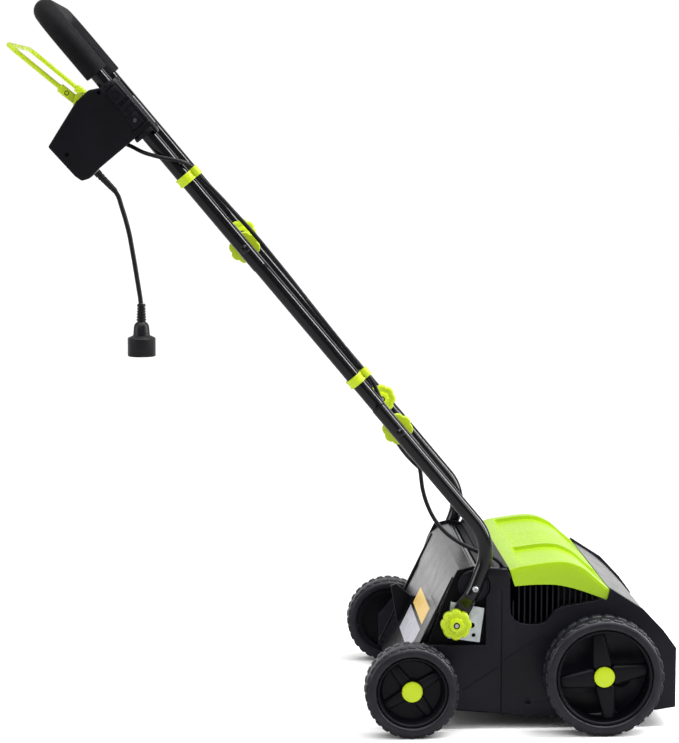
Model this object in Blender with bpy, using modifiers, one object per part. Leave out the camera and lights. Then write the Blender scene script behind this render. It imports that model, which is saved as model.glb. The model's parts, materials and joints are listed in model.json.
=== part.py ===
"""Lawn dethatcher: corded walk-behind machine with a tine reel, four wheels and a three-part handle.

Metres, +Z up, +X forward. The machine is drawn from its rear axle and stood on z = 0.
"""

import math

import bmesh
import bpy
from mathutils import Matrix, Vector

# Placing: the rear axle's distance in front of the origin
REAR_AXLE_X = 0.0933

# Wheels
REAR_AXLE = (0.0, 0.070)
FRONT_AXLE = (0.286, 0.089)
TYRE_MIDDLE_Y = 0.2475
TYRE_WIDTH = 0.045
TYRE_DEPTH = 0.017
AXLE_RADIUS = 0.004
STUB_RADIUS = 0.006

# Side panels
PANEL_IN = 0.200
PANEL_OUT = 0.212
SEAM_X = 0.137
GAP = 0.0003

# Handle pivot, lock and folding joints, as (x, z) from the rear axle
PIVOT = (0.096, 0.218)
LOCK = (0.068, 0.163)
FOLD_LOW = (-0.017, 0.452)
FOLD_HIGH = (-0.244, 0.724)
TUBE_RADIUS = 0.011
TUBE_WALL = 0.0014
OUTER_TUBE_Y = 0.2205
INNER_TUBE_Y = 0.1980
GRIP_RADIUS = 0.0178
BOLT_RADIUS = 0.003
HOLE_RADIUS = 0.0034
UPPER_LENGTH = 0.4495
CHANNEL_RADIUS = 0.0118

# Tine reel and its drive
REEL = (0.318, 0.078)
REEL_TIP = 0.072
MOTOR = (0.200, 0.168)
MOTOR_RADIUS = 0.043
BELT_Y = (0.176, 0.190)
REEL_PULLEY = 0.030
MOTOR_PULLEY = 0.014
BELT_THICK = 0.003

# Flap, bail and cord
FLAP_HINGE = (0.100, 0.234)
BAIL_AXIS = (-0.479, 0.938)
BAIL_Y = 0.205
BAIL_ROD_RADIUS = 0.0036
CORD_RADIUS = 0.0035
LEAD_RADIUS = 0.0031
CORD_Y = -0.2315
BOX_Y = (-0.238, -0.178)
BUTTON = (-0.455, 0.895)

# Cable clips and the lead they hold, as distances up the handle from the lower fold and out from it
CLIP_HIGH = 0.4870
CLIP_LOW = 0.0990
LEAD_ASIDE = 0.0180

HANDLE_UP = (Vector(FOLD_HIGH) - Vector(FOLD_LOW)).normalized()
HANDLE_SIDE = Vector((HANDLE_UP.y, -HANDLE_UP.x))
HANDLE_TOP = tuple(Vector(FOLD_HIGH) + HANDLE_UP * UPPER_LENGTH)

COLOURS = {
    "black_plastic": ((0.012, 0.012, 0.014), 0.42, 0.0),
    "gloss_black": ((0.010, 0.010, 0.012), 0.15, 0.0),
    "lime_plastic": ((0.46, 0.72, 0.01), 0.35, 0.0),
    "rubber": ((0.015, 0.015, 0.016), 0.75, 0.0),
    "black_paint": ((0.008, 0.008, 0.009), 0.2, 0.3),
    "zinc": ((0.62, 0.64, 0.66), 0.35, 1.0),
    "steel": ((0.5, 0.5, 0.5), 0.3, 1.0),
    "foam": ((0.010, 0.010, 0.011), 0.9, 0.0),
}


def new_collection(name):
    collection = bpy.data.collections.new(name)
    bpy.context.scene.collection.children.link(collection)
    return collection


def clear_scene():
    for obj in list(bpy.data.objects):
        bpy.data.objects.remove(obj, do_unlink=True)


clear_scene()
PARTS = new_collection("lawn_dethatcher")
CUTTERS = new_collection("cutters")


def material(name, finish):
    colour, roughness, metallic = COLOURS[finish]
    made = bpy.data.materials.new(name)
    made.use_nodes = True
    shader = made.node_tree.nodes["Principled BSDF"]
    shader.inputs["Base Color"].default_value = (*colour, 1.0)
    shader.inputs["Roughness"].default_value = roughness
    shader.inputs["Metallic"].default_value = metallic
    return made


def empty(name, place, parent=None):
    """An axis empty; place is measured from the rear axle's ground point."""
    made = bpy.data.objects.new(name, None)
    made.empty_display_size = 0.02
    PARTS.objects.link(made)
    made.parent = parent
    made.location = Vector(place) - (Vector(parent["place"]) if parent else Vector())
    made["place"] = list(place)
    return made


BASE = empty("rear_axle_base", (0.0, 0.0, 0.0))
BASE.location.x = REAR_AXLE_X


def attach(obj, axis):
    """Hang a solid drawn in machine coordinates on an axis empty."""
    obj.parent = axis
    obj.location = -Vector(axis["place"])
    return obj


def add(name, mesh, finish, axis):
    mesh.materials.clear()
    mesh.materials.append(material(name, finish))
    obj = bpy.data.objects.new(name, mesh)
    PARTS.objects.link(obj)
    mesh.shade_smooth()
    mesh.set_sharp_from_angle(angle=math.radians(35))
    return attach(obj, axis)


def modify(obj, other_mesh, operation):
    tool = bpy.data.objects.new(f"{obj.name}_{operation.lower()}_{len(obj.modifiers)}", other_mesh)
    CUTTERS.objects.link(tool)
    tool.hide_render = True
    tool.display_type = "WIRE"
    attach(tool, BASE)
    step = obj.modifiers.new(operation.title(), "BOOLEAN")
    step.operation = operation
    step.object = tool
    return obj


def cut(obj, *meshes):
    for mesh in meshes:
        modify(obj, mesh, "DIFFERENCE")
    return obj


def join(obj, *meshes):
    for mesh in meshes:
        modify(obj, mesh, "UNION")
    return obj


def finish_mesh(bm, name):
    bmesh.ops.remove_doubles(bm, verts=bm.verts, dist=1e-6)
    bmesh.ops.recalc_face_normals(bm, faces=bm.faces)
    mesh = bpy.data.meshes.new(name)
    bm.to_mesh(mesh)
    bm.free()
    return mesh


def box(name, low, high):
    """An upright box between two corners."""
    return boxes(name, [(low, high)])


def boxes(name, corners):
    bm = bmesh.new()
    for low, high in corners:
        low, high = Vector(low), Vector(high)
        shape = Matrix.Translation((low + high) / 2) @ Matrix.Diagonal((*(high - low), 1.0))
        bmesh.ops.create_cube(bm, size=1.0, matrix=shape)
    return finish_mesh(bm, name)


def turned_box(name, centre, size, angle):
    """A box turned about Y by angle, measured from +X towards +Z."""
    bm = bmesh.new()
    shape = Matrix.Translation(centre) @ Matrix.Rotation(-angle, 4, "Y") @ Matrix.Diagonal((*size, 1.0))
    bmesh.ops.create_cube(bm, size=1.0, matrix=shape)
    return finish_mesh(bm, name)


def rods(name, places, segments=16):
    """Round bars along Y, each given as (x, z), low y, high y, radius."""
    bm = bmesh.new()
    for (x, z), low, high, radius in places:
        turn = Matrix.Translation((x, (low + high) / 2, z)) @ Matrix.Rotation(math.pi / 2, 4, "X")
        size = {"radius1": radius, "radius2": radius, "depth": high - low}
        bmesh.ops.create_cone(bm, cap_ends=True, segments=segments, matrix=turn, **size)
    return finish_mesh(bm, name)


def rod(name, place, low, high, radius, segments=16):
    return rods(name, [(place, low, high, radius)], segments)


def mesh_of(obj, name, shape=None):
    """The evaluated mesh of a helper object, which is then removed."""
    CUTTERS.objects.link(obj)
    bpy.context.view_layer.update()
    mesh = bpy.data.meshes.new_from_object(obj.evaluated_get(bpy.context.evaluated_depsgraph_get()))
    bpy.data.objects.remove(obj, do_unlink=True)
    bm = bmesh.new()
    bm.from_mesh(mesh)
    if shape:
        bm.transform(shape)
    return finish_mesh(bm, name)


def slab(name, outline, low, high):
    """A flat outline of (x, z) points, filled between two values of y."""
    curve = bpy.data.curves.new(name, "CURVE")
    curve.dimensions = "2D"
    curve.fill_mode = "BOTH"
    curve.extrude = (high - low) / 2
    spline = curve.splines.new("POLY")
    spline.points.add(len(outline) - 1)
    for point, (x, z) in zip(spline.points, outline):
        point.co = (x, z, 0.0, 1.0)
    spline.use_cyclic_u = True
    shape = Matrix.Translation((0, (low + high) / 2, 0)) @ Matrix.Rotation(math.pi / 2, 4, "X")
    return mesh_of(bpy.data.objects.new(name, curve), name, shape)


def tube_surface(name, points, radius, resolution, caps):
    curve = bpy.data.curves.new(name, "CURVE")
    curve.dimensions = "3D"
    curve.bevel_depth = radius
    curve.bevel_resolution = resolution
    curve.use_fill_caps = caps
    spline = curve.splines.new("POLY")
    spline.points.add(len(points) - 1)
    for point, place in zip(spline.points, points):
        point.co = (*place, 1.0)
    return mesh_of(bpy.data.objects.new(name, curve), name)


def cable(name, points, radius):
    return tube_surface(name, points, radius, 2, True)


def with_wall(mesh, name, thickness):
    """Give an open surface a wall on its inner side."""
    helper = bpy.data.objects.new(name, mesh)
    wall = helper.modifiers.new("Wall", "SOLIDIFY")
    wall.thickness = thickness
    wall.offset = -1.0
    wall.use_even_offset = True
    return mesh_of(helper, name)


def turned(name, profile, place, middle_y, side=1, steps=30):
    """A profile of (radius, y) points turned about the Y axis at place, closed if it stays off the axis."""
    bm = bmesh.new()
    corners = [bm.verts.new((radius, 0.0, y)) for radius, y in profile]
    for start, end in zip(corners, corners[1:]):
        bm.edges.new((start, end))
    if profile[0][0] > 0:
        bm.edges.new((corners[-1], corners[0]))
    mesh = bpy.data.meshes.new(name)
    bm.to_mesh(mesh)
    bm.free()
    helper = bpy.data.objects.new(name, mesh)
    spin = helper.modifiers.new("Turn", "SCREW")
    spin.steps = steps
    spin.render_steps = steps
    spin.use_merge_vertices = True
    spin.merge_threshold = 1e-5
    turn = Matrix.Rotation(-math.pi / 2 * side, 4, "X")
    return mesh_of(helper, name, Matrix.Translation((place[0], middle_y, place[1])) @ turn)


def rounded(points, radius, steps=6):
    """A path through points whose inner corners become arcs."""
    path = [Vector(points[0])]
    for before, corner, after in zip(points, points[1:], points[2:]):
        before, corner, after = Vector(before), Vector(corner), Vector(after)
        into, out = (before - corner).normalized(), (after - corner).normalized()
        half = into.angle(out) / 2
        reach = radius / math.tan(half)
        centre = corner + (into + out).normalized() * radius / math.sin(half)
        start = corner + into * reach - centre
        end = corner + out * reach - centre
        sweep = start.angle(end)
        for step in range(steps + 1):
            part = step / steps
            arc = start * math.sin((1 - part) * sweep) + end * math.sin(part * sweep)
            path.append(centre + arc / math.sin(sweep))
    path.append(Vector(points[-1]))
    return path


def smooth(points, spacing):
    """Points about spacing apart on a smooth curve through the given ones."""
    points = [Vector(point) for point in points]
    padded = [2 * points[0] - points[1]] + points + [2 * points[-1] - points[-2]]
    path = []
    for index in range(len(points) - 1):
        a, b, c, d = padded[index : index + 4]
        count = max(1, round((c - b).length / spacing))
        for step in range(count):
            t = step / count
            bend = (2 * a - 5 * b + 4 * c - d) * t * t
            twist = (3 * b - a - 3 * c + d) * t**3
            path.append(0.5 * (2 * b + (c - a) * t + bend + twist))
    path.append(points[-1])
    return path


def along(place, distance, aside=0.0):
    """A point up the handle's line from place, and aside of it towards the front."""
    return (
        place[0] + HANDLE_UP[0] * distance + HANDLE_SIDE[0] * aside,
        place[1] + HANDLE_UP[1] * distance + HANDLE_SIDE[1] * aside,
    )


def at_y(place, y):
    return (place[0], y, place[1])


def sides():
    """Left is +Y and right is -Y for someone walking behind the machine."""
    return (("left", 1), ("right", -1))


def span(side, near, far):
    """Two distances from the middle plane as (low, high) on one side."""
    return (near, far) if side > 0 else (-far, -near)


# Body shell

HOOD_EDGE = [(0.1575, 0.2165), (0.189, 0.2185), (0.222, 0.2175), (0.255, 0.2095), (0.2965, 0.1945)]


def make_side_panel(name, side):
    outline = [(-0.020, 0.034), (-0.020, 0.085), (0.016, 0.1285), (0.114, 0.1285), (0.114, 0.236)]
    outline += [(0.120, 0.2455), (0.146, 0.243)] + HOOD_EDGE
    outline += [(0.3015, 0.2125), (0.352, 0.180), (0.383, 0.147), (0.402, 0.121)]
    outline += [(0.402, 0.030), (0.376, 0.026), (0.200, 0.018), (0.080, 0.030)]
    panel = add(name, slab(name, outline, *span(side, PANEL_IN, PANEL_OUT)), "black_plastic", BASE)
    backing = [(0.012, 0.110), (0.058, 0.220), (0.072, 0.240)]
    backing += [(0.096, 0.246), (0.128, 0.240), (0.128, 0.110)]
    low, high = span(side, PANEL_IN - 0.004, PANEL_IN + 0.001)
    cut(panel, rod("boss_room", PIVOT, *span(side, PANEL_IN - 0.001, PANEL_OUT + 0.001), 0.0242, 24))
    join(panel, slab("backing", backing, low, high))
    join(panel, rod("boss", PIVOT, *span(side, PANEL_IN - 0.002, 0.209), 0.0235, 24))
    slats = []
    for index in range(9):
        x = 0.1555 + 0.0148 * index
        top = 0.2135 - max(0.0, x - 0.215) * 0.29
        low_z = 0.166 + max(0.0, x - 0.19) * 0.55
        if x > 0.216:
            low_z = top - 0.014
        slats.append(((x, -1.0, low_z), (x + 0.0110, 1.0, top)))
    cut(panel, boxes("louvre_slots", slats))
    low, high = span(side, PANEL_OUT - 0.0015, PANEL_OUT + 0.001)
    cut(panel, box("seam", (SEAM_X, low, 0.0), (SEAM_X + 0.0012, high, 0.2115)))
    low, high = span(side, PANEL_IN - 0.006, PANEL_OUT + 0.001)
    holes = [(REAR_AXLE, low, high, AXLE_RADIUS + GAP), (FRONT_AXLE, low, high, STUB_RADIUS + GAP)]
    holes += [(REEL, low, high, 0.0163), (PIVOT, low, high, BOLT_RADIUS + GAP)]
    holes.append(((0.178, 0.041), low, high, 0.004))
    cut(panel, rods("axle_holes", holes))
    return panel


def strip(name, profile, half_width, thickness):
    """A bent sheet: a profile of (x, z) points drawn out across the machine, walled on one side."""
    bm = bmesh.new()
    line = [bm.verts.new((x, -half_width, z)) for x, z in profile]
    edges = [bm.edges.new(pair) for pair in zip(line, line[1:])]
    drawn = bmesh.ops.extrude_edge_only(bm, edges=edges)
    ends = [item for item in drawn["geom"] if isinstance(item, bmesh.types.BMVert)]
    bmesh.ops.translate(bm, verts=ends, vec=(0.0, 2 * half_width, 0.0))
    mesh = bpy.data.meshes.new(name)
    bm.to_mesh(mesh)
    bm.free()
    return with_wall(mesh, name, thickness)


def make_front_cover():
    profile = [(0.400, 0.032), (0.400, 0.119), (0.380, 0.144), (0.3485, 0.177), (0.303, 0.2085)]
    mesh = strip("front_cover", profile, PANEL_IN - GAP, 0.003)
    return add("front_cover", mesh, "gloss_black", BASE)


def make_deck():
    profile = [(0.294, 0.190), (0.270, 0.150), (0.245, 0.121), (0.165, 0.111)]
    profile += [(0.135, 0.134), (0.119, 0.215), (0.120, 0.2385), (0.1475, 0.2395)]
    mesh = strip("deck", profile, PANEL_IN - 0.0045, 0.003)
    deck = add("deck", mesh, "black_plastic", BASE)
    cut(deck, box("gland_slot", (0.1340, -0.1985, 0.2250), (0.1495, -0.1850, 0.2500)))
    return cut(deck, box("belt_slot", (0.200, BELT_Y[0] - 0.003, 0.09), (0.285, PANEL_IN, 0.20)))


def hood_profile():
    return [(0.1500, 0.2415), (0.165, 0.2465), (0.190, 0.2505), (0.216, 0.2535), (0.236, 0.2530),
            (0.252, 0.2480), (0.266, 0.2400), (0.284, 0.2240), (0.3000, 0.2105)]


def make_hood():
    """A bowed top with a turned-down wall on each side, lower between its rails."""
    half = PANEL_OUT - 0.004
    rail = 0.022
    plateau = 0.060
    floor = 0.005
    bm = bmesh.new()
    across = [(-half, None), (-half, 0.0), (-half + rail, 0.0), (-half + rail + 0.003, -floor)]
    across += [(-plateau - 0.002, -floor), (-plateau, 0.0)]
    across += [(-y, drop) for y, drop in reversed(across)]
    wall_low = [(x, z + GAP * 2) for x, z in HOOD_EDGE]
    rows = []
    for index, (x, z) in enumerate(hood_profile()):
        part = index / (len(hood_profile()) - 1)
        sunk = 1.0 if 0 < index < len(hood_profile()) - 2 else 0.0
        row = []
        for y, drop in across:
            if drop is None:
                row.append(bm.verts.new((*edge_at(wall_low, part, y),)))
            else:
                row.append(bm.verts.new((x, y, z + drop * sunk)))
        rows.append(row)
    for low, high in zip(rows, rows[1:]):
        for index in range(len(low) - 1):
            bm.faces.new((low[index], low[index + 1], high[index + 1], high[index]))
    bmesh.ops.recalc_face_normals(bm, faces=bm.faces)
    if bm.faces[:][4].normal.z < 0:
        bmesh.ops.reverse_faces(bm, faces=bm.faces)
    mesh = bpy.data.meshes.new("hood")
    bm.to_mesh(mesh)
    bm.free()
    return add("hood", with_wall(mesh, "hood", 0.0025), "lime_plastic", BASE)


def edge_at(points, part, y):
    """The point a part of the way along a line of (x, z) points, at y."""
    place = part * (len(points) - 1)
    index = min(int(place), len(points) - 2)
    (x0, z0), (x1, z1) = points[index : index + 2]
    share = place - index
    return (x0 + (x1 - x0) * share, y, z0 + (z1 - z0) * share)


def make_zinc_bracket(name, side):
    corners = [(0.062, 0.194), (0.112, 0.184), (0.105, 0.132), (0.057, 0.139)]
    near, face, far = PANEL_IN + 0.0013, 0.2062, 0.2085
    bracket = add(name, slab(name, corners, *span(side, near, far)), "zinc", BASE)
    hollow = [(0.0645, 0.205), (0.1105, 0.196), (0.1020, 0.120), (0.0590, 0.125)]
    cut(bracket, slab("bracket_hollow", hollow, *span(side, near - 0.001, face)))
    low, high = span(side, near, far + 0.002)
    holes = [(LOCK, low, high, 0.0045), ((0.093, 0.158), low, high, 0.0045)]
    holes.append(((0.096, 0.143), low, high, 0.003))
    return cut(bracket, rods("bracket_holes", holes))


def make_chassis_axles():
    reach = TYRE_MIDDLE_Y + TYRE_WIDTH / 2 - 0.008
    add("rear_axle", rod("rear_axle", REAR_AXLE, -reach, reach, AXLE_RADIUS), "steel", BASE)
    for word, side in sides():
        low, high = span(side, PANEL_IN - 0.003, reach)
        add(f"front_axle_{word}", rod("stub", FRONT_AXLE, low, high, STUB_RADIUS), "steel", BASE)
        low, high = span(side, 0.1945, PANEL_OUT)
        bearing = add(f"reel_bearing_{word}", rod("bearing", REEL, low, high, 0.016, 20), "steel", BASE)
        cut(bearing, rod("bearing_bore", REEL, low - 0.001, high + 0.001, 0.0083, 16))


# Reel, motor and belt


def belt_outline(extra):
    """The loop round both pulleys, extra outside their rims."""
    line = Vector(MOTOR) - Vector(REEL)
    heading = math.atan2(line.y, line.x)
    lean = math.acos((REEL_PULLEY - MOTOR_PULLEY) / line.length)
    outline = []
    for centre, radius, start, end in (
        (REEL, REEL_PULLEY + extra, heading + lean, heading + 2 * math.pi - lean),
        (MOTOR, MOTOR_PULLEY + extra, heading - lean, heading + lean),
    ):
        steps = 20 if centre is REEL else 12
        for step in range(steps + 1):
            angle = start + (end - start) * step / steps
            outline.append((centre[0] + radius * math.cos(angle), centre[1] + radius * math.sin(angle)))
    return outline


def make_belt():
    belt = add("drive_belt", slab("drive_belt", belt_outline(GAP + BELT_THICK), *BELT_Y), "rubber", BASE)
    return cut(belt, slab("belt_inside", belt_outline(GAP), BELT_Y[0] - 0.01, BELT_Y[1] + 0.01))


def make_reel(axis):
    shaft = add("reel_shaft", rod("reel_shaft", REEL, -0.210, 0.210, 0.008), "steel", axis)
    discs = [(REEL, y, y + 0.003, 0.034) for y in (-0.176, -0.060, 0.060, 0.162)]
    join(shaft, rods("reel_discs", discs, 18))
    join(shaft, rod("reel_pulley", REEL, BELT_Y[0] - 0.001, BELT_Y[1] + 0.001, REEL_PULLEY, 24))
    holes = []
    for index, word in enumerate(("a", "b")):
        angle = math.radians(40 + 180 * index)
        place = (REEL[0] + 0.026 * math.cos(angle), REEL[1] + 0.026 * math.sin(angle))
        holes.append((place, -0.18, 0.1655, 0.0035 + GAP))
        bar = add(f"tine_bar_{word}", rod("tine_bar", place, -0.179, 0.1665, 0.0035, 10), "steel", axis)
        tip = Vector((math.cos(angle), math.sin(angle)))
        trail = Vector((math.sin(angle), -math.cos(angle)))
        for count in range(9):
            y = -0.150 + 0.0375 * count
            root = Vector(place)
            bend = root + tip * 0.020 + trail * 0.004
            end = Vector(REEL) + tip * (REEL_TIP - 0.003) + trail * 0.014
            wire = [at_y(root, y), at_y(bend, y), at_y(end, y)]
            join(bar, tube_surface("tine", wire, 0.0016, 1, True))
    cut(shaft, rods("bar_holes", holes, 10))


def make_motor(axis):
    can = add("motor_can", rod("motor_can", MOTOR, -0.085, 0.095, MOTOR_RADIUS, 28), "black_plastic", BASE)
    cut(can, rod("can_bore", MOTOR, -0.080, 0.1, 0.0115))
    shaft = add("motor_shaft", rod("motor_shaft", MOTOR, -0.076, BELT_Y[1] + 0.004, 0.006), "steel", axis)
    join(shaft, rod("rotor", MOTOR, -0.070, 0.090, 0.0105))
    join(shaft, rod("motor_pulley", MOTOR, BELT_Y[0] - 0.001, BELT_Y[1] + 0.001, MOTOR_PULLEY, 20))


# Wheels


def make_tyre(name, place, radius, side, axis):
    half = TYRE_WIDTH / 2
    inner = radius - TYRE_DEPTH
    profile = [(inner, half - 0.004), (inner + 0.004, half), (radius - 0.006, half), (radius, half - 0.007)]
    profile += [(r, -y) for r, y in reversed(profile)]
    mesh = turned(name, profile, place, side * TYRE_MIDDLE_Y, side, 36)
    return add(name, mesh, "rubber", axis)


def make_rim(name, place, radius, bore, side, axis, open_spokes):
    """A turned barrel and hub, joined by a web or by four spokes; y runs out from the wheel's middle."""
    seat = radius - TYRE_DEPTH - GAP
    barrel = [(seat, -0.018), (seat, 0.0175), (seat - 0.003, 0.0175)]
    barrel += [(seat - 0.006, 0.004), (seat - 0.006, -0.018)]
    hub = [(0.014, -0.020), (0.014, 0.012), (bore, 0.012), (bore, -0.020)]
    if open_spokes:
        profile = barrel
    else:
        profile = [(seat, -0.018), (seat, 0.0175), (seat - 0.003, 0.0175), (seat - 0.006, 0.006)]
        profile += [(0.0150, 0.006), (0.0135, 0.012), (bore, 0.012)]
        profile += [(bore, -0.020), (0.0135, -0.020), (0.0135, 0.001)]
        profile += [(seat - 0.006, 0.001), (seat - 0.006, -0.018)]
    rim = add(name, turned(name, profile, place, side * TYRE_MIDDLE_Y, side), "black_plastic", axis)
    if open_spokes:
        join(rim, turned("hub", hub, place, side * TYRE_MIDDLE_Y, side, 20))
        for index in range(4):
            angle = math.radians(8 + 90 * index)
            middle = (seat - 0.004 + 0.011) / 2
            centre = (place[0] + middle * math.cos(angle), side * (TYRE_MIDDLE_Y + 0.003),
                      place[1] + middle * math.sin(angle))
            join(rim, turned_box("spoke", centre, (seat - 0.004 - 0.011, 0.012, 0.016), angle))
    return rim


def make_wheels():
    ends = (("rear", REAR_AXLE, 0.070, AXLE_RADIUS), ("front", FRONT_AXLE, 0.089, STUB_RADIUS))
    for end, place, radius, bore in ends:
        for word, side in sides():
            axis = empty(f"axis_wheel_{end}_{word}", at_y(place, side * TYRE_MIDDLE_Y), BASE)
            make_tyre(f"tyre_{end}_{word}", place, radius, side, axis)
            make_rim(f"rim_{end}_{word}", place, radius, bore + GAP, side, axis, end == "front")


# Rear flap


def make_flap(axis):
    half = 0.186
    profile = [(-0.019, 0.0465), (0.069, 0.228), (0.078, 0.2365), (0.0955, 0.2405)]
    flap = add("rear_flap", strip("rear_flap", profile[::-1], half, 0.0022), "gloss_black", axis)
    join(flap, rod("flap_barrel", FLAP_HINGE, -half, half, 0.0066, 20))
    cut(flap, rod("flap_bore", FLAP_HINGE, -0.19, 0.19, 0.0033, 20))
    tab = [(0.028, 0.137), (0.002, 0.160), (-0.007, 0.156), (0.004, 0.094)]
    join(flap, slab("lift_tab", tab, 0.0955, 0.1045))
    rod_mesh = rod("flap_rod", FLAP_HINGE, -0.1955, 0.1955, 0.003, 16)
    add("flap_rod", rod_mesh, "steel", BASE)


# Handle


def pressed_end(mesh, side):
    """Press the lower end of the tube flat against the bracket side."""
    start, axis = Vector((LOCK[0], LOCK[1])), (Vector(PIVOT) - Vector(LOCK)).normalized()
    across = Vector((axis.y, -axis.x))
    for vert in mesh.vertices:
        flat = Vector((vert.co.x, vert.co.z)) - start
        run = flat.dot(axis)
        press = min(1.0, max(0.0, (0.049 - run) / 0.021))
        press = press * press * (3 - 2 * press)
        off = (abs(vert.co.y) - OUTER_TUBE_Y) * (1 - press * 0.72)
        middle = OUTER_TUBE_Y + (0.2126 - OUTER_TUBE_Y) * press
        vert.co.y = side * (middle + off)
        wide = flat.dot(across) * press * 0.16
        vert.co.x += across.x * wide
        vert.co.z += across.y * wide
    return mesh


def tube_with_wall(name, points, radius=TUBE_RADIUS, wall=TUBE_WALL):
    return with_wall(tube_surface(name, points, radius, 3, False), name, wall)


def bolt_holes(places):
    return rods("bolt_holes", [(place, -0.3, 0.3, HOLE_RADIUS) for place in places], 10)


def make_lower_tube(name, side, axis):
    y = side * OUTER_TUBE_Y
    foot = Vector(LOCK) + (Vector(LOCK) - Vector(PIVOT)).normalized() * 0.014
    fine = [Vector(LOCK).lerp(Vector(PIVOT), part) for part in (0.0, 0.42, 0.52, 0.62, 0.72, 0.82)]
    bend = [at_y(PIVOT, y), (0.1216, y, 0.2861), at_y(along(FOLD_LOW, 0.049), y)]
    path = [at_y(foot, y)] + [at_y(point, y) for point in fine] + rounded(bend, 0.07)
    mesh = pressed_end(tube_surface(name, path, TUBE_RADIUS, 3, False), side)
    tube = add(name, with_wall(mesh, name, TUBE_WALL), "black_paint", axis)
    return cut(tube, bolt_holes([PIVOT, LOCK, FOLD_LOW]))


def make_middle_tube(name, side, axis):
    y = side * INNER_TUBE_Y
    path = [at_y(along(FOLD_LOW, -0.036), y), at_y(along(FOLD_HIGH, 0.036), y)]
    tube = add(name, tube_with_wall(name, path), "black_paint", axis)
    return cut(tube, bolt_holes([FOLD_LOW, FOLD_HIGH]))


def upper_path(start):
    """The bow of the upper handle, from a distance up its legs."""
    foot = along(FOLD_HIGH, start)
    y = OUTER_TUBE_Y
    return [at_y(foot, -y), at_y(HANDLE_TOP, -y), at_y(HANDLE_TOP, y), at_y(foot, y)]


def make_upper_tube(axis):
    mesh = tube_with_wall("upper_tube", rounded(upper_path(-0.034), 0.055))
    tube = add("upper_tube", mesh, "black_paint", axis)
    return cut(tube, bolt_holes([FOLD_HIGH]))


def make_grip(axis):
    foot = (Vector(HANDLE_TOP) - Vector(FOLD_HIGH)).length - 0.118
    path = rounded(upper_path(foot), 0.055)
    wall = (GRIP_RADIUS - TUBE_RADIUS) * math.cos(math.pi / 10) - GAP
    return add("foam_grip", tube_with_wall("foam_grip", path, GRIP_RADIUS, wall), "foam", axis)


def star_knob(name, place, low, high, flip, axis):
    """An eight-lobed knob along Y, its flat face at the end named by flip."""
    bm = bmesh.new()
    lobes, segments, radius = 8, 32, 0.0205
    depth = high - low
    made = bmesh.ops.create_circle(bm, cap_ends=True, segments=segments, radius=radius)
    for vert in made["verts"]:
        angle = math.atan2(vert.co.y, vert.co.x)
        vert.co *= 1 + 0.075 * math.cos(lobes * angle)
    face = bm.faces[:][0]
    for push, scale in ((0.15, 1.05), (0.40, 1.0), (0.2, 0.86), (0.0, 0.66), (0.25, 0.94)):
        drawn = bmesh.ops.extrude_face_region(bm, geom=[face])["geom"]
        if len(bm.faces) > segments + 2:
            bmesh.ops.delete(bm, geom=[face], context="FACES_ONLY")
        face = next(item for item in drawn if isinstance(item, bmesh.types.BMFace))
        for vert in face.verts:
            vert.co = Vector((vert.co.x * scale, vert.co.y * scale, vert.co.z + push * depth))
    half = low if flip > 0 else high
    turn = Matrix.Rotation(-math.pi / 2 * flip, 4, "X")
    bm.transform(Matrix.Translation((place[0], half, place[1])) @ turn)
    return add(name, finish_mesh(bm, name), "lime_plastic", axis)


def make_knobs(lower_axis, middle_axis, upper_axis):
    for word, side in sides():
        low, high = span(side, 0.2160, 0.2350)
        axis = empty(f"axis_lock_knob_{word}", at_y(LOCK, side * 0.2160), lower_axis)
        knob = star_knob(f"lock_knob_{word}", LOCK, low, high, side, axis)
        join(knob, rod("stud", LOCK, *span(side, 0.2128, 0.2200), BOLT_RADIUS, 10))
        for joint, place, parent in (("low", FOLD_LOW, middle_axis), ("high", FOLD_HIGH, upper_axis)):
            low, high = span(side, 0.1660, 0.1865)
            axis = empty(f"axis_{joint}_knob_{word}", at_y(place, side * 0.1865), parent)
            knob = star_knob(f"{joint}_knob_{word}", place, low, high, -side, axis)
            cut(knob, rod("knob_bore", place, *span(side, 0.1760, 0.1900), HOLE_RADIUS, 10))


def make_bolts(middle_axis, upper_axis):
    for word, side in sides():
        head = OUTER_TUBE_Y + TUBE_RADIUS + GAP
        shank = rod("pivot_bolt", PIVOT, *span(side, 0.192, head + 0.002), BOLT_RADIUS, 10)
        bolt = add(f"pivot_bolt_{word}", shank, "steel", BASE)
        join(bolt, rod("bolt_head", PIVOT, *span(side, head, head + 0.0035), 0.0055, 12))
        for joint, place, axis in (("low", FOLD_LOW, middle_axis), ("high", FOLD_HIGH, upper_axis)):
            name = f"{joint}_bolt_{word}"
            shank = rod(name, place, *span(side, 0.1765, head + 0.002), BOLT_RADIUS, 10)
            bolt = add(name, shank, "steel", axis)
            join(bolt, rod("bolt_head", place, *span(side, head, head + 0.0028), 0.0065, 12))


# Switch box, bail and cords

BOX_OUTLINE = [(-0.527, 0.873), (-0.486, 0.938), (-0.468, 0.9545), (-0.4505, 0.958), (-0.4390, 0.9690),
               (-0.4275, 0.9665), (-0.3690, 0.8985), (-0.3690, 0.8935), (-0.385, 0.8995), (-0.4545, 0.8415),
               (-0.4675, 0.8275), (-0.4790, 0.8240), (-0.4885, 0.8305)]


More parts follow.
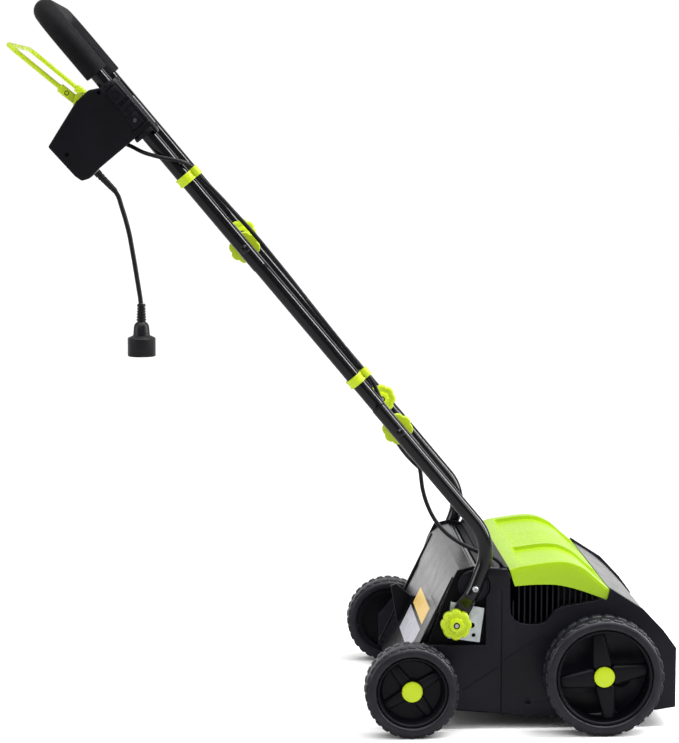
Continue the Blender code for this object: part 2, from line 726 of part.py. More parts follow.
def make_switch_box(axis):
    foot, top = along(FOLD_HIGH, 0.15), along(FOLD_HIGH, 0.40)
    channel = [at_y(foot, -OUTER_TUBE_Y), at_y(top, -OUTER_TUBE_Y)]
    parting = -OUTER_TUBE_Y
    near_half = slab("outer", BOX_OUTLINE, BOX_Y[0], parting - GAP / 2)
    far_half = slab("inner", BOX_OUTLINE, parting + GAP / 2, BOX_Y[1])
    outer = add("switch_box_outer", near_half, "black_plastic", axis)
    inner = add("switch_box_inner", far_half, "black_plastic", axis)
    room = [(-0.518, 0.874), (-0.492, 0.915), (-0.436, 0.915)]
    room += [(-0.424, 0.900), (-0.440, 0.864), (-0.479, 0.832)]
    depths = ((outer, BOX_Y[0] + 0.003, parting + 0.01), (inner, parting - 0.01, BOX_Y[1] - 0.003))
    for half, low, high in depths:
        cut(half, tube_surface("tube_channel", channel, CHANNEL_RADIUS, 4, True))
        cut(half, slab("box_room", room, low, high))
    cut(inner, rod("bail_room", BAIL_AXIS, -0.2125, -0.1975, 0.0175, 20))
    cut(inner, rod("bail_pin_room", BAIL_AXIS, -0.2185, -0.1900, 0.0034, 16))
    cut(inner, rod("button_room", BUTTON, -0.20, -0.17, 0.0078, 20))
    slide = empty("axis_lock_button", at_y(BUTTON, BOX_Y[1]), axis)
    cap = rod("button", BUTTON, -0.1800, -0.1720, 0.0075, 20)
    button = add("lock_button", cap, "lime_plastic", slide)
    join(button, rod("button_flange", BUTTON, -0.1965, -0.1815 - GAP, 0.0095, 20))
    join(button, rod("button_neck", BUTTON, -0.1900, -0.1780, 0.0075, 20))


def make_bail(axis, upper_axis):
    lean = math.radians(141.4)
    out = Vector((math.cos(lean), math.sin(lean)))
    up = Vector((-out.y, out.x))
    axle = Vector(BAIL_AXIS)
    start, tip = axle + out * 0.010 + up * 0.004, axle + out * 0.134 + up * 0.002
    path = [at_y(start, -BAIL_Y), at_y(tip, -BAIL_Y), at_y(tip, BAIL_Y), at_y(start, BAIL_Y)]
    bow = tube_surface("bail_lever", rounded(path, 0.022, 6), BAIL_ROD_RADIUS, 2, True)
    bail = add("bail_lever", bow, "lime_plastic", axis)
    for word, side in sides():
        y = side * BAIL_Y
        block = axle + out * 0.0235 + up * 0.004
        join(bail, turned_box("end_block", at_y(block, y), (0.026, 0.0115, 0.0125), lean))
        join(bail, rod("root", BAIL_AXIS, *span(side, BAIL_Y - 0.006, BAIL_Y + 0.006), 0.0135, 16))
        join(bail, rod("pin", BAIL_AXIS, *span(side, BAIL_Y - 0.0140, BAIL_Y + 0.0125), 0.003, 14))
    turn = math.atan2(HANDLE_SIDE.y, HANDLE_SIDE.x)
    block = turned_box("bail_bracket", at_y(along(BAIL_AXIS, -0.012, 0.031), OUTER_TUBE_Y + 0.0015),
                       (0.045, 0.0305, 0.040), turn)
    clamp = add("bail_bracket", block, "black_plastic", upper_axis)
    join(clamp, rod("clamp_ear", BAIL_AXIS, 0.2125, 0.2350, 0.0115, 16))
    leg = [at_y(along(FOLD_HIGH, 0.15), OUTER_TUBE_Y), at_y(along(FOLD_HIGH, 0.40), OUTER_TUBE_Y)]
    cut(clamp, tube_surface("tube_channel", leg, CHANNEL_RADIUS, 4, True))
    cut(clamp, rod("bail_room", BAIL_AXIS, 0.1900, 0.2115, 0.0195, 20))
    cut(clamp, rod("bail_pin_room", BAIL_AXIS, 0.2, 0.2180, 0.0034, 16))


def make_clip(name, distance, tube_y, axis):
    """A snap ring round the tube with an eye for the lead, a distance up the handle from its low joint."""
    half = 0.0065
    ends = [at_y(along(FOLD_LOW, distance + step), tube_y) for step in (-half, half)]
    ring = with_wall(tube_surface(name, ends, 0.0138, 4, False), name, 0.0016)
    ring = add(name, ring, "lime_plastic", axis)
    steps = (-half - 0.001, half + 0.001)
    ends = [at_y(along(FOLD_LOW, distance + step, LEAD_ASIDE), tube_y) for step in steps]
    join(ring, tube_surface("lead_eye", ends, 0.0064, 3, True))
    ends = [at_y(along(FOLD_LOW, distance + step, LEAD_ASIDE), tube_y) for step in (-3 * half, 3 * half)]
    cut(ring, tube_surface("lead_room", ends, 0.0043, 3, True))




def lead_path(places):
    """Places along the lead as (distance up the handle from its low joint, distance aside, y)."""
    return [at_y(along(FOLD_LOW, up, aside), y) for up, aside, y in places]


def make_leads(lower_axis, middle_axis, upper_axis):
    """The motor lead from switch box to body, parted at the two folding joints."""
    first = [(0.5735, -0.0300, -0.2120), (0.5560, -0.0220, -0.2240), (0.5360, -0.0080, -0.2350),
             (0.5200, 0.0050, -0.2362), (0.5060, 0.0150, -0.2290), (0.4950, 0.0180, -0.2207),
             (0.4790, 0.0180, -0.2205), (0.4400, 0.0210, -0.2175), (0.4050, 0.0225, -0.2150)]
    second = [(0.3050, 0.0232, -0.2035), (0.2750, 0.0225, -0.2020), (0.2000, 0.0200, -0.1980),
              (0.1120, 0.0180, -0.1980), (0.0860, 0.0180, -0.1980), (0.0600, 0.0115, -0.1820),
              (0.0300, 0.0020, -0.1700)]
    third = [(0.0285, 0.0010, -0.1690), (0.0120, -0.0060, -0.1605), (-0.0120, -0.0130, -0.1605),
             (-0.0360, -0.0150, -0.1750), (-0.0550, -0.0135, -0.1900), (-0.0640, -0.0120, -0.1965)]
    loop = [(0.0190, -0.2000, 0.3650), (0.0260, -0.2000, 0.3410), (0.0380, -0.2000, 0.3170),
            (0.0550, -0.2000, 0.2970), (0.0780, -0.1990, 0.2805), (0.1010, -0.1975, 0.2690),
            (0.1240, -0.1935, 0.2600), (0.1380, -0.1920, 0.2485)]
    for name, path, axis in (
        ("motor_lead_upper", lead_path(first), upper_axis),
        ("motor_lead_middle", lead_path(second), middle_axis),
        ("motor_lead_lower", lead_path(third) + loop, lower_axis),
    ):
        add(name, cable(name, smooth(path, 0.016), LEAD_RADIUS), "rubber", axis)
    gland = [(0.1400, -0.1920, 0.2440), (0.1440, -0.1920, 0.2290)]
    add("lead_gland", tube_surface("lead_gland", gland, 0.0050, 3, True), "rubber", BASE)


def cord_route():
    route = [(-0.4315, 0.8095), (-0.4265, 0.8010), (-0.4230, 0.7891), (-0.4176, 0.7712), (-0.4116, 0.7474)]
    route += [(-0.4076, 0.7245), (-0.4037, 0.7007), (-0.4002, 0.6778), (-0.3967, 0.6550), (-0.3957, 0.6461)]
    return [(x, CORD_Y, z) for x, z in route]


def make_cord(axis):
    """A short pigtail with a boot at the box and a round plug at its end."""
    route = cord_route()
    boot = [(-0.4578, CORD_Y, 0.8368), (-0.4325, CORD_Y, 0.8107)]
    add("cord_boot", tube_surface("cord_boot", boot, 0.0048, 3, True), "rubber", axis)
    add("power_cord", cable("power_cord", smooth(route, 0.012), CORD_RADIUS), "rubber", axis)
    x, z = -0.3952, 0.6456
    profile = [(0.0, 0.0), (0.0060, 0.0), (0.0065, 0.026), (0.0110, 0.031), (0.0125, 0.046), (0.0205, 0.050),
               (0.0205, 0.0765), (0.0175, 0.0765), (0.0175, 0.0650), (0.0, 0.0650)]
    mesh = turned("plug", profile, (0.0, 0.0), 0.0, 1, 24)
    mesh.transform(Matrix.Translation((x, CORD_Y, z)) @ Matrix.Rotation(-math.pi / 2, 4, "X"))
    plug = add("plug", mesh, "black_plastic", axis)
    for offset in (-0.0063, 0.0063):
        low = (x - 0.003, CORD_Y + offset - 0.0008, z - 0.0745)
        high = (x + 0.003, CORD_Y + offset + 0.0008, z - 0.060)
        join(plug, box("blade", low, high))


# The machine


def make_handle():
    lower = empty("axis_handle_tilt", at_y(PIVOT, 0.0), BASE)
    middle = empty("axis_fold_low", at_y(FOLD_LOW, 0.0), lower)
    upper = empty("axis_fold_high", at_y(FOLD_HIGH, 0.0), middle)
    for word, side in sides():
        make_lower_tube(f"lower_tube_{word}", side, lower)
        make_middle_tube(f"middle_tube_{word}", side, middle)
    make_upper_tube(upper)
    make_grip(upper)
    make_knobs(lower, middle, upper)
    make_bolts(middle, upper)
    make_switch_box(upper)
    make_bail(empty("axis_bail", at_y(BAIL_AXIS, 0.0), upper), upper)
    make_clip("cable_clip_high", CLIP_HIGH, -OUTER_TUBE_Y, upper)
    make_clip("cable_clip_low", CLIP_LOW, -INNER_TUBE_Y, middle)
    make_leads(lower, middle, upper)
    make_cord(upper)


def make_machine():
    for word, side in sides():
        make_side_panel(f"side_panel_{word}", side)
        make_zinc_bracket(f"zinc_bracket_{word}", side)
    make_front_cover()
    make_deck()
    make_hood()
    make_chassis_axles()
    make_belt()
    make_reel(empty("axis_reel", at_y(REEL, 0.0), BASE))
    make_motor(empty("axis_motor", at_y(MOTOR, 0.0), BASE))
    make_wheels()
    make_flap(empty("axis_flap", at_y(FLAP_HINGE, 0.0), BASE))
    make_handle()


make_machine()
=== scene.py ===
import json
import math

import bpy
from mathutils import Matrix, Vector

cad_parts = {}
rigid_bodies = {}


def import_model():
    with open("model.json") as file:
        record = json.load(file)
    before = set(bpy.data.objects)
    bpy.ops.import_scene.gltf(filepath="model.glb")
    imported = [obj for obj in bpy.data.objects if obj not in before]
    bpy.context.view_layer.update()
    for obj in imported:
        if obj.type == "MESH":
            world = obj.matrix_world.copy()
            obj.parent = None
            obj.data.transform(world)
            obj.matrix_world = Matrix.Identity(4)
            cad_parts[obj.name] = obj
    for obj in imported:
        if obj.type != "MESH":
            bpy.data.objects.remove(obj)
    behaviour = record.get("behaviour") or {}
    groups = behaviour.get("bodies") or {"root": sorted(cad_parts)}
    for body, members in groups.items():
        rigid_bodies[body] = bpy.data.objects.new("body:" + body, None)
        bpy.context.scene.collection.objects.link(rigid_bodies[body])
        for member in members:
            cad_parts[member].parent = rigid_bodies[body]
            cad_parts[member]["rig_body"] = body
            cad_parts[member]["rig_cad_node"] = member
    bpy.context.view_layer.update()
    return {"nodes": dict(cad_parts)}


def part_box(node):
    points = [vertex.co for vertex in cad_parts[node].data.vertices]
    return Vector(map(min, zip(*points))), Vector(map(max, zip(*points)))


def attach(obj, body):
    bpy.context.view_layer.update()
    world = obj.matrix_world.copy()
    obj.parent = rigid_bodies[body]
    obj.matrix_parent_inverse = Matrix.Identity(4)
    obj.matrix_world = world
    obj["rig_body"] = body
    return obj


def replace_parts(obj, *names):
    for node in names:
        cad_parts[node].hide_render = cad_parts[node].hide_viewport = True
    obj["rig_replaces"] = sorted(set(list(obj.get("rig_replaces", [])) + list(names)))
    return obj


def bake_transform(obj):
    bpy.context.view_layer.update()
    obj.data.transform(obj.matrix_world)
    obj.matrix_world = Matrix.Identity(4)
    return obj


bpy.ops.object.select_all(action="SELECT")
bpy.ops.object.delete()

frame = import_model()
print("frame loaded")


# Places read from the frame

def middleOf(node):
    low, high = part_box(node)
    return (low + high) / 2


rearX = middleOf("rear_axle").x
foldLow = middleOf("low_knob_right")
foldHigh = middleOf("high_knob_right")
upward = Vector((foldHigh.x - foldLow.x, 0, foldHigh.z - foldLow.z)).normalized()
forward = Vector((upward.z, 0, -upward.x))   # square to the handle, towards the front


def world(x, y, z):   # x is measured from the rear axle
    return Vector((x + rearX, y, z))


def onHandle(distance, aside, y):   # up the handle from its low fold, and aside towards the front
    place = foldLow + upward * distance + forward * aside
    return Vector((place.x, y, place.z))


handlePivot = world(0.096, 0, 0.218)
bailAxle = world(-0.479, 0, 0.938)
buttonCentre = world(-0.455, 0, 0.895)


# Working with pieces

def only(piece):
    if bpy.context.mode != "OBJECT":
        bpy.ops.object.mode_set(mode="OBJECT")
    bpy.ops.object.select_all(action="DESELECT")
    piece.select_set(True)
    bpy.context.view_layer.objects.active = piece
    return piece


def openFaces(piece, test=None):
    only(piece)
    bpy.context.tool_settings.mesh_select_mode = (False, False, True)
    for face in piece.data.polygons:
        face.select = test is None or bool(test(face))
    for group in (piece.data.edges, piece.data.vertices):
        for item in group:
            item.select = False
    bpy.ops.object.mode_set(mode="EDIT")
    if test is None:
        bpy.ops.mesh.select_all(action="SELECT")


def facing(piece, direction, index=0):   # turned inside out if that face looks the wrong way
    if piece.data.polygons[index].normal.dot(Vector(direction)) < 0:
        openFaces(piece)
        bpy.ops.mesh.flip_normals()
        bpy.ops.object.mode_set(mode="OBJECT")
    return piece


def tapered(piece, test, scale, centre):   # the faces that pass the test, scaled about a centre
    openFaces(piece, test)
    bpy.ops.transform.resize(value=scale, center_override=centre)
    bpy.ops.object.mode_set(mode="OBJECT")


def turnedAbout(piece, angle, centre):   # the whole piece about Y
    openFaces(piece)
    bpy.ops.transform.rotate(value=angle, orient_axis="Y", center_override=centre)
    bpy.ops.object.mode_set(mode="OBJECT")


def closeUp(piece):   # doubles merged and faces turned outwards
    openFaces(piece)
    bpy.ops.mesh.remove_doubles(threshold=1e-6)
    bpy.ops.mesh.normals_make_consistent(inside=False)
    bpy.ops.object.mode_set(mode="OBJECT")
    return piece


def bevelled(piece, width, segments=3, angle=30):
    only(piece)
    step = piece.modifiers.new("Edges", "BEVEL")
    step.width = width
    step.segments = segments
    step.limit_method = "ANGLE"
    step.angle_limit = math.radians(angle)
    bpy.ops.object.modifier_apply(modifier=step.name)
    return piece


def carved(piece, *cutters):
    for cutter in cutters:
        only(piece)
        step = piece.modifiers.new("Cut", "BOOLEAN")
        step.operation = "DIFFERENCE"
        step.solver = "EXACT"
        step.object = cutter
        bpy.ops.object.modifier_apply(modifier=step.name)
        bpy.data.objects.remove(cutter, do_unlink=True)
    return piece


def merged(piece, *others):
    only(piece)
    for other in others:
        other.select_set(True)
    if others:
        bpy.ops.object.join()
    return piece


def walled(piece, thickness):
    only(piece)
    step = piece.modifiers.new("Wall", "SOLIDIFY")
    step.thickness = thickness
    step.offset = -1.0
    bpy.ops.object.modifier_apply(modifier=step.name)
    return piece


def finished(piece, name, material, body, replaced=(), angle=35):
    only(piece)
    bpy.ops.object.transform_apply(location=True, rotation=True, scale=True)
    bpy.ops.object.shade_smooth_by_angle(angle=math.radians(angle))
    piece.name = name
    piece.data.name = name
    if not piece.data.materials:
        piece.data.materials.append(material)
    for index, held in enumerate(piece.data.materials):
        if held is None:
            piece.data.materials[index] = material or piece.data.materials[0]
    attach(piece, body)
    if replaced:
        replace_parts(piece, *replaced)
    return piece


def copied(piece):
    copy = piece.copy()
    copy.data = piece.data.copy()
    bpy.context.scene.collection.objects.link(copy)
    return copy


def fromFrame(node):   # a copy of a solid, its flat faces made whole
    copy = copied(frame["nodes"][node])
    copy.parent = None
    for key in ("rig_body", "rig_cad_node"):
        del copy[key]
    copy.data.materials.clear()
    copy.hide_render = False
    openFaces(copy)
    bpy.ops.mesh.remove_doubles(threshold=1e-5)
    bpy.ops.mesh.dissolve_limited(angle_limit=math.radians(4))
    bpy.ops.object.mode_set(mode="OBJECT")
    return copy


def mirrored(piece, name, body, replaced=()):
    copy = copied(piece)
    copy.parent = None
    copy.matrix_world = Matrix.Identity(4)
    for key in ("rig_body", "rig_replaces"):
        if key in copy:
            del copy[key]
    only(copy)
    copy.scale.y = -1
    bpy.ops.object.transform_apply(location=True, rotation=True, scale=True)
    openFaces(copy)
    bpy.ops.mesh.normals_make_consistent(inside=False)
    bpy.ops.object.mode_set(mode="OBJECT")
    copy.name = name
    copy.data.name = name
    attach(copy, body)
    if replaced:
        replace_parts(copy, *replaced)
    return copy


# the right one, mirrored for the left
def finishedPair(piece, name, material, body, replaced, angle=35):
    right = finished(piece, name + "Right", material, body, replaced, angle)
    mirrored(right, name + "Left", body.replace("_right", "_left"),
             [node.replace("_right", "_left") for node in replaced])


def plate(outline, low, high):   # a flat shape of (x, z) points, drawn out from low y to high y
    bpy.ops.mesh.primitive_circle_add(vertices=len(outline), fill_type="NGON", location=(0, 0, 0))
    piece = bpy.context.object
    for corner, (x, z) in zip(piece.data.vertices, outline):
        corner.co = world(x, low, z)
    openFaces(piece)
    bpy.ops.mesh.extrude_region_move(TRANSFORM_OT_translate={"value": (0, high - low, 0)})
    bpy.ops.object.mode_set(mode="OBJECT")
    return closeUp(piece)


def block(low, high):
    low, high = Vector(low), Vector(high)
    bpy.ops.mesh.primitive_cube_add(size=1, location=(low + high) / 2, scale=high - low)
    bpy.ops.object.transform_apply(location=True, rotation=True, scale=True)
    return bpy.context.object


def turnedBlock(centre, size, angle):   # a block turned about Y, from +X towards +Z
    bpy.ops.mesh.primitive_cube_add(size=1, location=centre, scale=size, rotation=(0, -angle, 0))
    bpy.ops.object.transform_apply(location=True, rotation=True, scale=True)
    return bpy.context.object


def spindle(centre, low, high, radius, sides=32):   # a round bar along Y
    bpy.ops.mesh.primitive_cylinder_add(
        vertices=sides, radius=radius, depth=high - low,
        location=(centre.x, (low + high) / 2, centre.z), rotation=(math.pi / 2, 0, 0))
    bpy.ops.object.transform_apply(location=True, rotation=True, scale=True)
    return bpy.context.object


def lathe(profile, centre, axis=(0, 1, 0), steps=72):   # (radius, height) points turned about the axis
    bpy.ops.mesh.primitive_circle_add(vertices=len(profile), fill_type="NOTHING", location=(0, 0, 0))
    piece = bpy.context.object
    axis = Vector(axis).normalized()
    out = axis.orthogonal().normalized()
    for corner, (radius, height) in zip(piece.data.vertices, profile):
        corner.co = centre + out * radius + axis * height
    openFaces(piece)
    bpy.context.tool_settings.mesh_select_mode = (True, False, False)
    bpy.ops.mesh.select_all(action="SELECT")
    bpy.ops.mesh.spin(steps=steps, angle=2 * math.pi, center=centre, axis=axis)
    bpy.ops.mesh.select_all(action="SELECT")
    bpy.ops.mesh.remove_doubles(threshold=2e-6)
    bpy.ops.mesh.dissolve_degenerate(threshold=1e-6)
    bpy.ops.mesh.select_all(action="SELECT")
    bpy.ops.mesh.normals_make_consistent(inside=False)
    bpy.ops.object.mode_set(mode="OBJECT")
    return piece


def repeated(piece, centre, axis, count):   # copies of the whole shape round a centre
    openFaces(piece)
    sweep = 2 * math.pi * (count - 1) / count
    bpy.ops.mesh.spin(steps=count - 1, dupli=True, angle=sweep, center=centre, axis=axis)
    bpy.ops.object.mode_set(mode="OBJECT")
    return piece


def tube(points, radius, resolution=8, caps=True):   # a round bar along a line of points
    bpy.ops.curve.primitive_nurbs_path_add(location=(0, 0, 0))
    piece = bpy.context.object
    curve = piece.data
    curve.splines.clear()
    spline = curve.splines.new("POLY")
    spline.points.add(len(points) - 1)
    for point, place in zip(spline.points, points):
        point.co = (*place, 1)
    curve.bevel_depth = radius
    curve.bevel_resolution = resolution
    curve.use_fill_caps = caps
    return piece


def meshed(piece):
    only(piece)
    bpy.ops.object.convert(target="MESH")
    return closeUp(bpy.context.object)


def smoothLine(points, spacing):   # points about spacing apart on a smooth curve through the given ones
    points = [Vector(point) for point in points]
    ends = [2 * points[0] - points[1]] + points + [2 * points[-1] - points[-2]]
    line = []
    for index in range(len(points) - 1):
        a, b, c, d = ends[index:index + 4]
        count = max(1, round((c - b).length / spacing))
        for step in range(count):
            t = step / count
            line.append(0.5 * (2 * b + (c - a) * t + (2 * a - 5 * b + 4 * c - d) * t * t
                               + (3 * b - a - 3 * c + d) * t ** 3))
    return line + [points[-1]]


def smoothProfile(points, spacing):   # the same for (x, z) points
    return [(spot.x, spot.z) for spot in smoothLine([(x, 0, z) for x, z in points], spacing)]


def roundedLine(points, radius, steps=14):   # corners become arcs
    points = [Vector(point) for point in points]
    line = [points[0]]
    for before, corner, after in zip(points, points[1:], points[2:]):
        into, out = (before - corner).normalized(), (after - corner).normalized()
        half = into.angle(out) / 2
        centre = corner + (into + out).normalized() * radius / math.sin(half)
        start = corner + into * radius / math.tan(half) - centre
        end = corner + out * radius / math.tan(half) - centre
        sweep = start.angle(end)
        for turn in range(steps + 1):
            share = turn / steps
            arm = start * math.sin((1 - share) * sweep) + end * math.sin(share * sweep)
            line.append(centre + arm / math.sin(sweep))
    return line + [points[-1]]


# Materials

def linear(colour):   # sRGB hex to linear
    parts = [int(colour[at:at + 2], 16) / 255 for at in (1, 3, 5)]
    return tuple(c / 12.92 if c <= 0.04045 else ((c + 0.055) / 1.055) ** 2.4 for c in parts) + (1.0,)


def addNode(tree, kind, settings=None, **links):
    node = tree.nodes.new(kind)
    for key, value in (settings or {}).items():
        if key in node.inputs:
            node.inputs[key].default_value = value
        else:
            setattr(node, key, value)
    for key, source in links.items():
        tree.links.new(source, node.inputs[key.replace("_", " ")])
    return node


def makeMaterial(name, colours, roughness, patchMm, grainMm, bumpMm, bump, more):
    material = bpy.data.materials.new(name)
    material.use_nodes = True
    tree = material.node_tree
    shader = tree.nodes["Principled BSDF"]
    shader.inputs["Specular IOR Level"].default_value = more.get("specular", 0.5)
    shader.inputs["Metallic"].default_value = more.get("metallic", 0.0)
    place = addNode(tree, "ShaderNodeTexCoord").outputs["Object"]
    place = addNode(tree, "ShaderNodeMapping", {"Scale": more.get("stretch", (1, 1, 1))}, Vector=place)
    place = place.outputs["Vector"]
    patches = addNode(tree, "ShaderNodeTexNoise", {"Scale": 1000 / patchMm, "Detail": 3.0}, Vector=place)
    if more.get("cells"):
        grain = addNode(tree, "ShaderNodeTexVoronoi", {"Scale": 1000 / grainMm}, Vector=place)
        height = grain.outputs["Distance"]
    else:
        grain = addNode(tree, "ShaderNodeTexNoise", {"Scale": 1000 / grainMm, "Detail": 2.0}, Vector=place)
        height = grain.outputs["Fac"]
    ramp = addNode(tree, "ShaderNodeValToRGB", None, Fac=patches.outputs["Fac"])
    for stop, colour, where in zip(ramp.color_ramp.elements, colours, (0.3, 0.7)):
        stop.color = linear(colour)
        stop.position = where
    tree.links.new(ramp.outputs["Color"], shader.inputs["Base Color"])
    spread = {"From Min": 0.3, "From Max": 0.7, "To Min": roughness[0], "To Max": roughness[1]}
    sheen = addNode(tree, "ShaderNodeMapRange", spread, Value=height)
    tree.links.new(sheen.outputs["Result"], shader.inputs["Roughness"])
    relief = addNode(tree, "ShaderNodeBump", {"Strength": bump, "Distance": bumpMm / 1000}, Height=height)
    tree.links.new(relief.outputs["Normal"], shader.inputs["Normal"])
    return material


looks = {   # colours, roughness, patches and grain in mm, bump in mm and its strength, and what else differs
    # PP moulded against a spark-eroded tool: satin with a fine even grain, drawn 1.6 mm across so it shows
    "mouldedPolypropylene": (("#07070c", "#0c0c13"), (0.34, 0.46), 60, 1.6, 0.1, 0.25, {"specular": 0.2}),
    # the same PP on the big side walls, its colour painted a touch lighter for the sheen they catch (painted
    # highlight), with a touch more real sheen from lower roughness and more specular
    "wallPolypropylenePaintedSheen": (("#0c0c13", "#12121b"), (0.3, 0.42), 80, 1.6, 0.08, 0.2, {"specular": 0.24}),
    # ABS moulded against a polished tool: deep gloss with a very slight waviness
    "polishedAbs": (("#0b0b10", "#101016"), (0.18, 0.24), 90, 28, 0.25, 0.1, {"specular": 0.6}),
    # pigmented ABS, moulded: even lime green, half gloss
    "limeAbs": (("#8bad02", "#91b405"), (0.26, 0.34), 70, 2.0, 0.03, 0.1, {"specular": 0.36}),
    # pigmented PP, moulded: a little yellower and softer than the shell
    "limePolypropylene": (("#a6bb0c", "#adc212"), (0.32, 0.4), 40, 2.5, 0.03, 0.08, {"specular": 0.35}),
    # rigid PVC tyre, moulded: dull satin with handling scuffs
    "mouldedVinylTyre": (("#0f0f16", "#191922"), (0.32, 0.46), 18, 2.2, 0.15, 0.3, {"specular": 0.4}),
    # steel tube under gloss enamel: dark, wet-looking, with a light orange peel
    "glossEnamel": (("#050508", "#08080c"), (0.12, 0.2), 40, 5, 0.06, 0.1, {"specular": 0.5}),
    # zinc-plated pressed steel: pale, softly mottled, faint roll lines
    "zincPlate": (("#b9c0c4", "#d3d9db"), (0.34, 0.48), 9, 1.2, 0.04, 0.2,
                  {"metallic": 0.6, "stretch": (1, 1, 0.35)}),
    # bright-plated screws and pins
    "platedSteel": (("#a9abae", "#c6c8cb"), (0.28, 0.38), 5, 0.8, 0.03, 0.2, {"metallic": 0.7}),
    # spring wire, drawn and oiled: darker
    "springWire": (("#505357", "#6c6f74"), (0.26, 0.4), 6, 1.0, 0.03, 0.2, {"metallic": 0.8}),
    # NBR foam sleeve: matt, open cells at the skin
    "nitrileFoam": (("#07070a", "#0d0d11"), (0.6, 0.8), 25, 1.4, 0.16, 0.35,
                    {"specular": 0.16, "cells": True}),
    # PVC cable jacket, extruded: satin black
    "extrudedPvc": (("#0a0a0e", "#101015"), (0.34, 0.46), 15, 1.5, 0.05, 0.2, {"specular": 0.3}),
    # printed vinyl label, pale yellow, left blank
    "yellowLabel": (("#d9b45c", "#e2c070"), (0.3, 0.38), 20, 2, 0.02, 0.1, {}),
    # metallised polyester label, left blank
    "silverLabel": (("#b9b8c2", "#cccbd4"), (0.26, 0.36), 20, 2, 0.02, 0.1, {"metallic": 0.3}),
    # shaded inside of the shell and the motor housing
    "innerMoulding": (("#050506", "#08080a"), (0.5, 0.65), 40, 2, 0.1, 0.2, {"specular": 0.12}),
}
finish = {name: makeMaterial(name, *look) for name, look in looks.items()}
print("materials made")


# Camera, light and floor

def frontness(tree, place, low, high):   # 1 towards the camera's side of the room, 0 behind the object
    apart = addNode(tree, "ShaderNodeSeparateXYZ", None, Vector=place)
    fall = {"From Min": low, "From Max": high, "To Min": 1.0, "To Max": 0.0}
    return addNode(tree, "ShaderNodeMapRange", fall, Value=apart.outputs["Y"]).outputs["Result"]


def times(tree, first, second):
    part = addNode(tree, "ShaderNodeMath", {"operation": "MULTIPLY"})
    for socket, value in zip(part.inputs, (first, second)):
        if isinstance(value, float):
            socket.default_value = value
        else:
            tree.links.new(value, socket)
    return part.outputs["Value"]


# The front of the room shows dim in a reflection, as black flags would make it
def dimmed(tree, shader, share, front, output):
    path = addNode(tree, "ShaderNodeLightPath")
    part = times(tree, times(tree, path.outputs["Is Glossy Ray"], share), front)
    black = addNode(tree, "ShaderNodeEmission", {"Strength": 0.0})
    mix = addNode(tree, "ShaderNodeMixShader", None, Fac=part)
    tree.links.new(shader, mix.inputs[1])
    tree.links.new(black.outputs["Emission"], mix.inputs[2])
    tree.links.new(mix.outputs["Shader"], tree.nodes[output].inputs["Surface"])


studio = {
    "eye": (-0.1862, -3.7407, 0.9523), "down": 0.1155, "right": 0.0493, "lens": 116.9,
    "lights": {   # place, size, watts, aim
        "left": ((-3.4, -0.9, 1.5), 2.0, 34, (0, 0, 0.4)),
        "right": ((3.0, -1.8, 1.4), 1.4, 16, (0.2, 0, 0.3)),
        "front": ((-0.4, -4.2, 3.4), 1.6, 16, (0.1, 0, 0.3)),
    },
    "strip": {"place": (1.75, -0.25, 2.0), "width": 0.45, "length": 3.6, "watts": 95,
              "along": (-0.64, 0, 0.768), "aim": (-0.1, -0.2, 0.6)},
    "sun": 2.9, "sunSpread": 70, "sunTilt": (8, -6), "room": 0.32,
    "floorDimmed": 0.68, "roomDimmed": 0.60, "brightBehind": 0.75,   # shares, for reflections
}


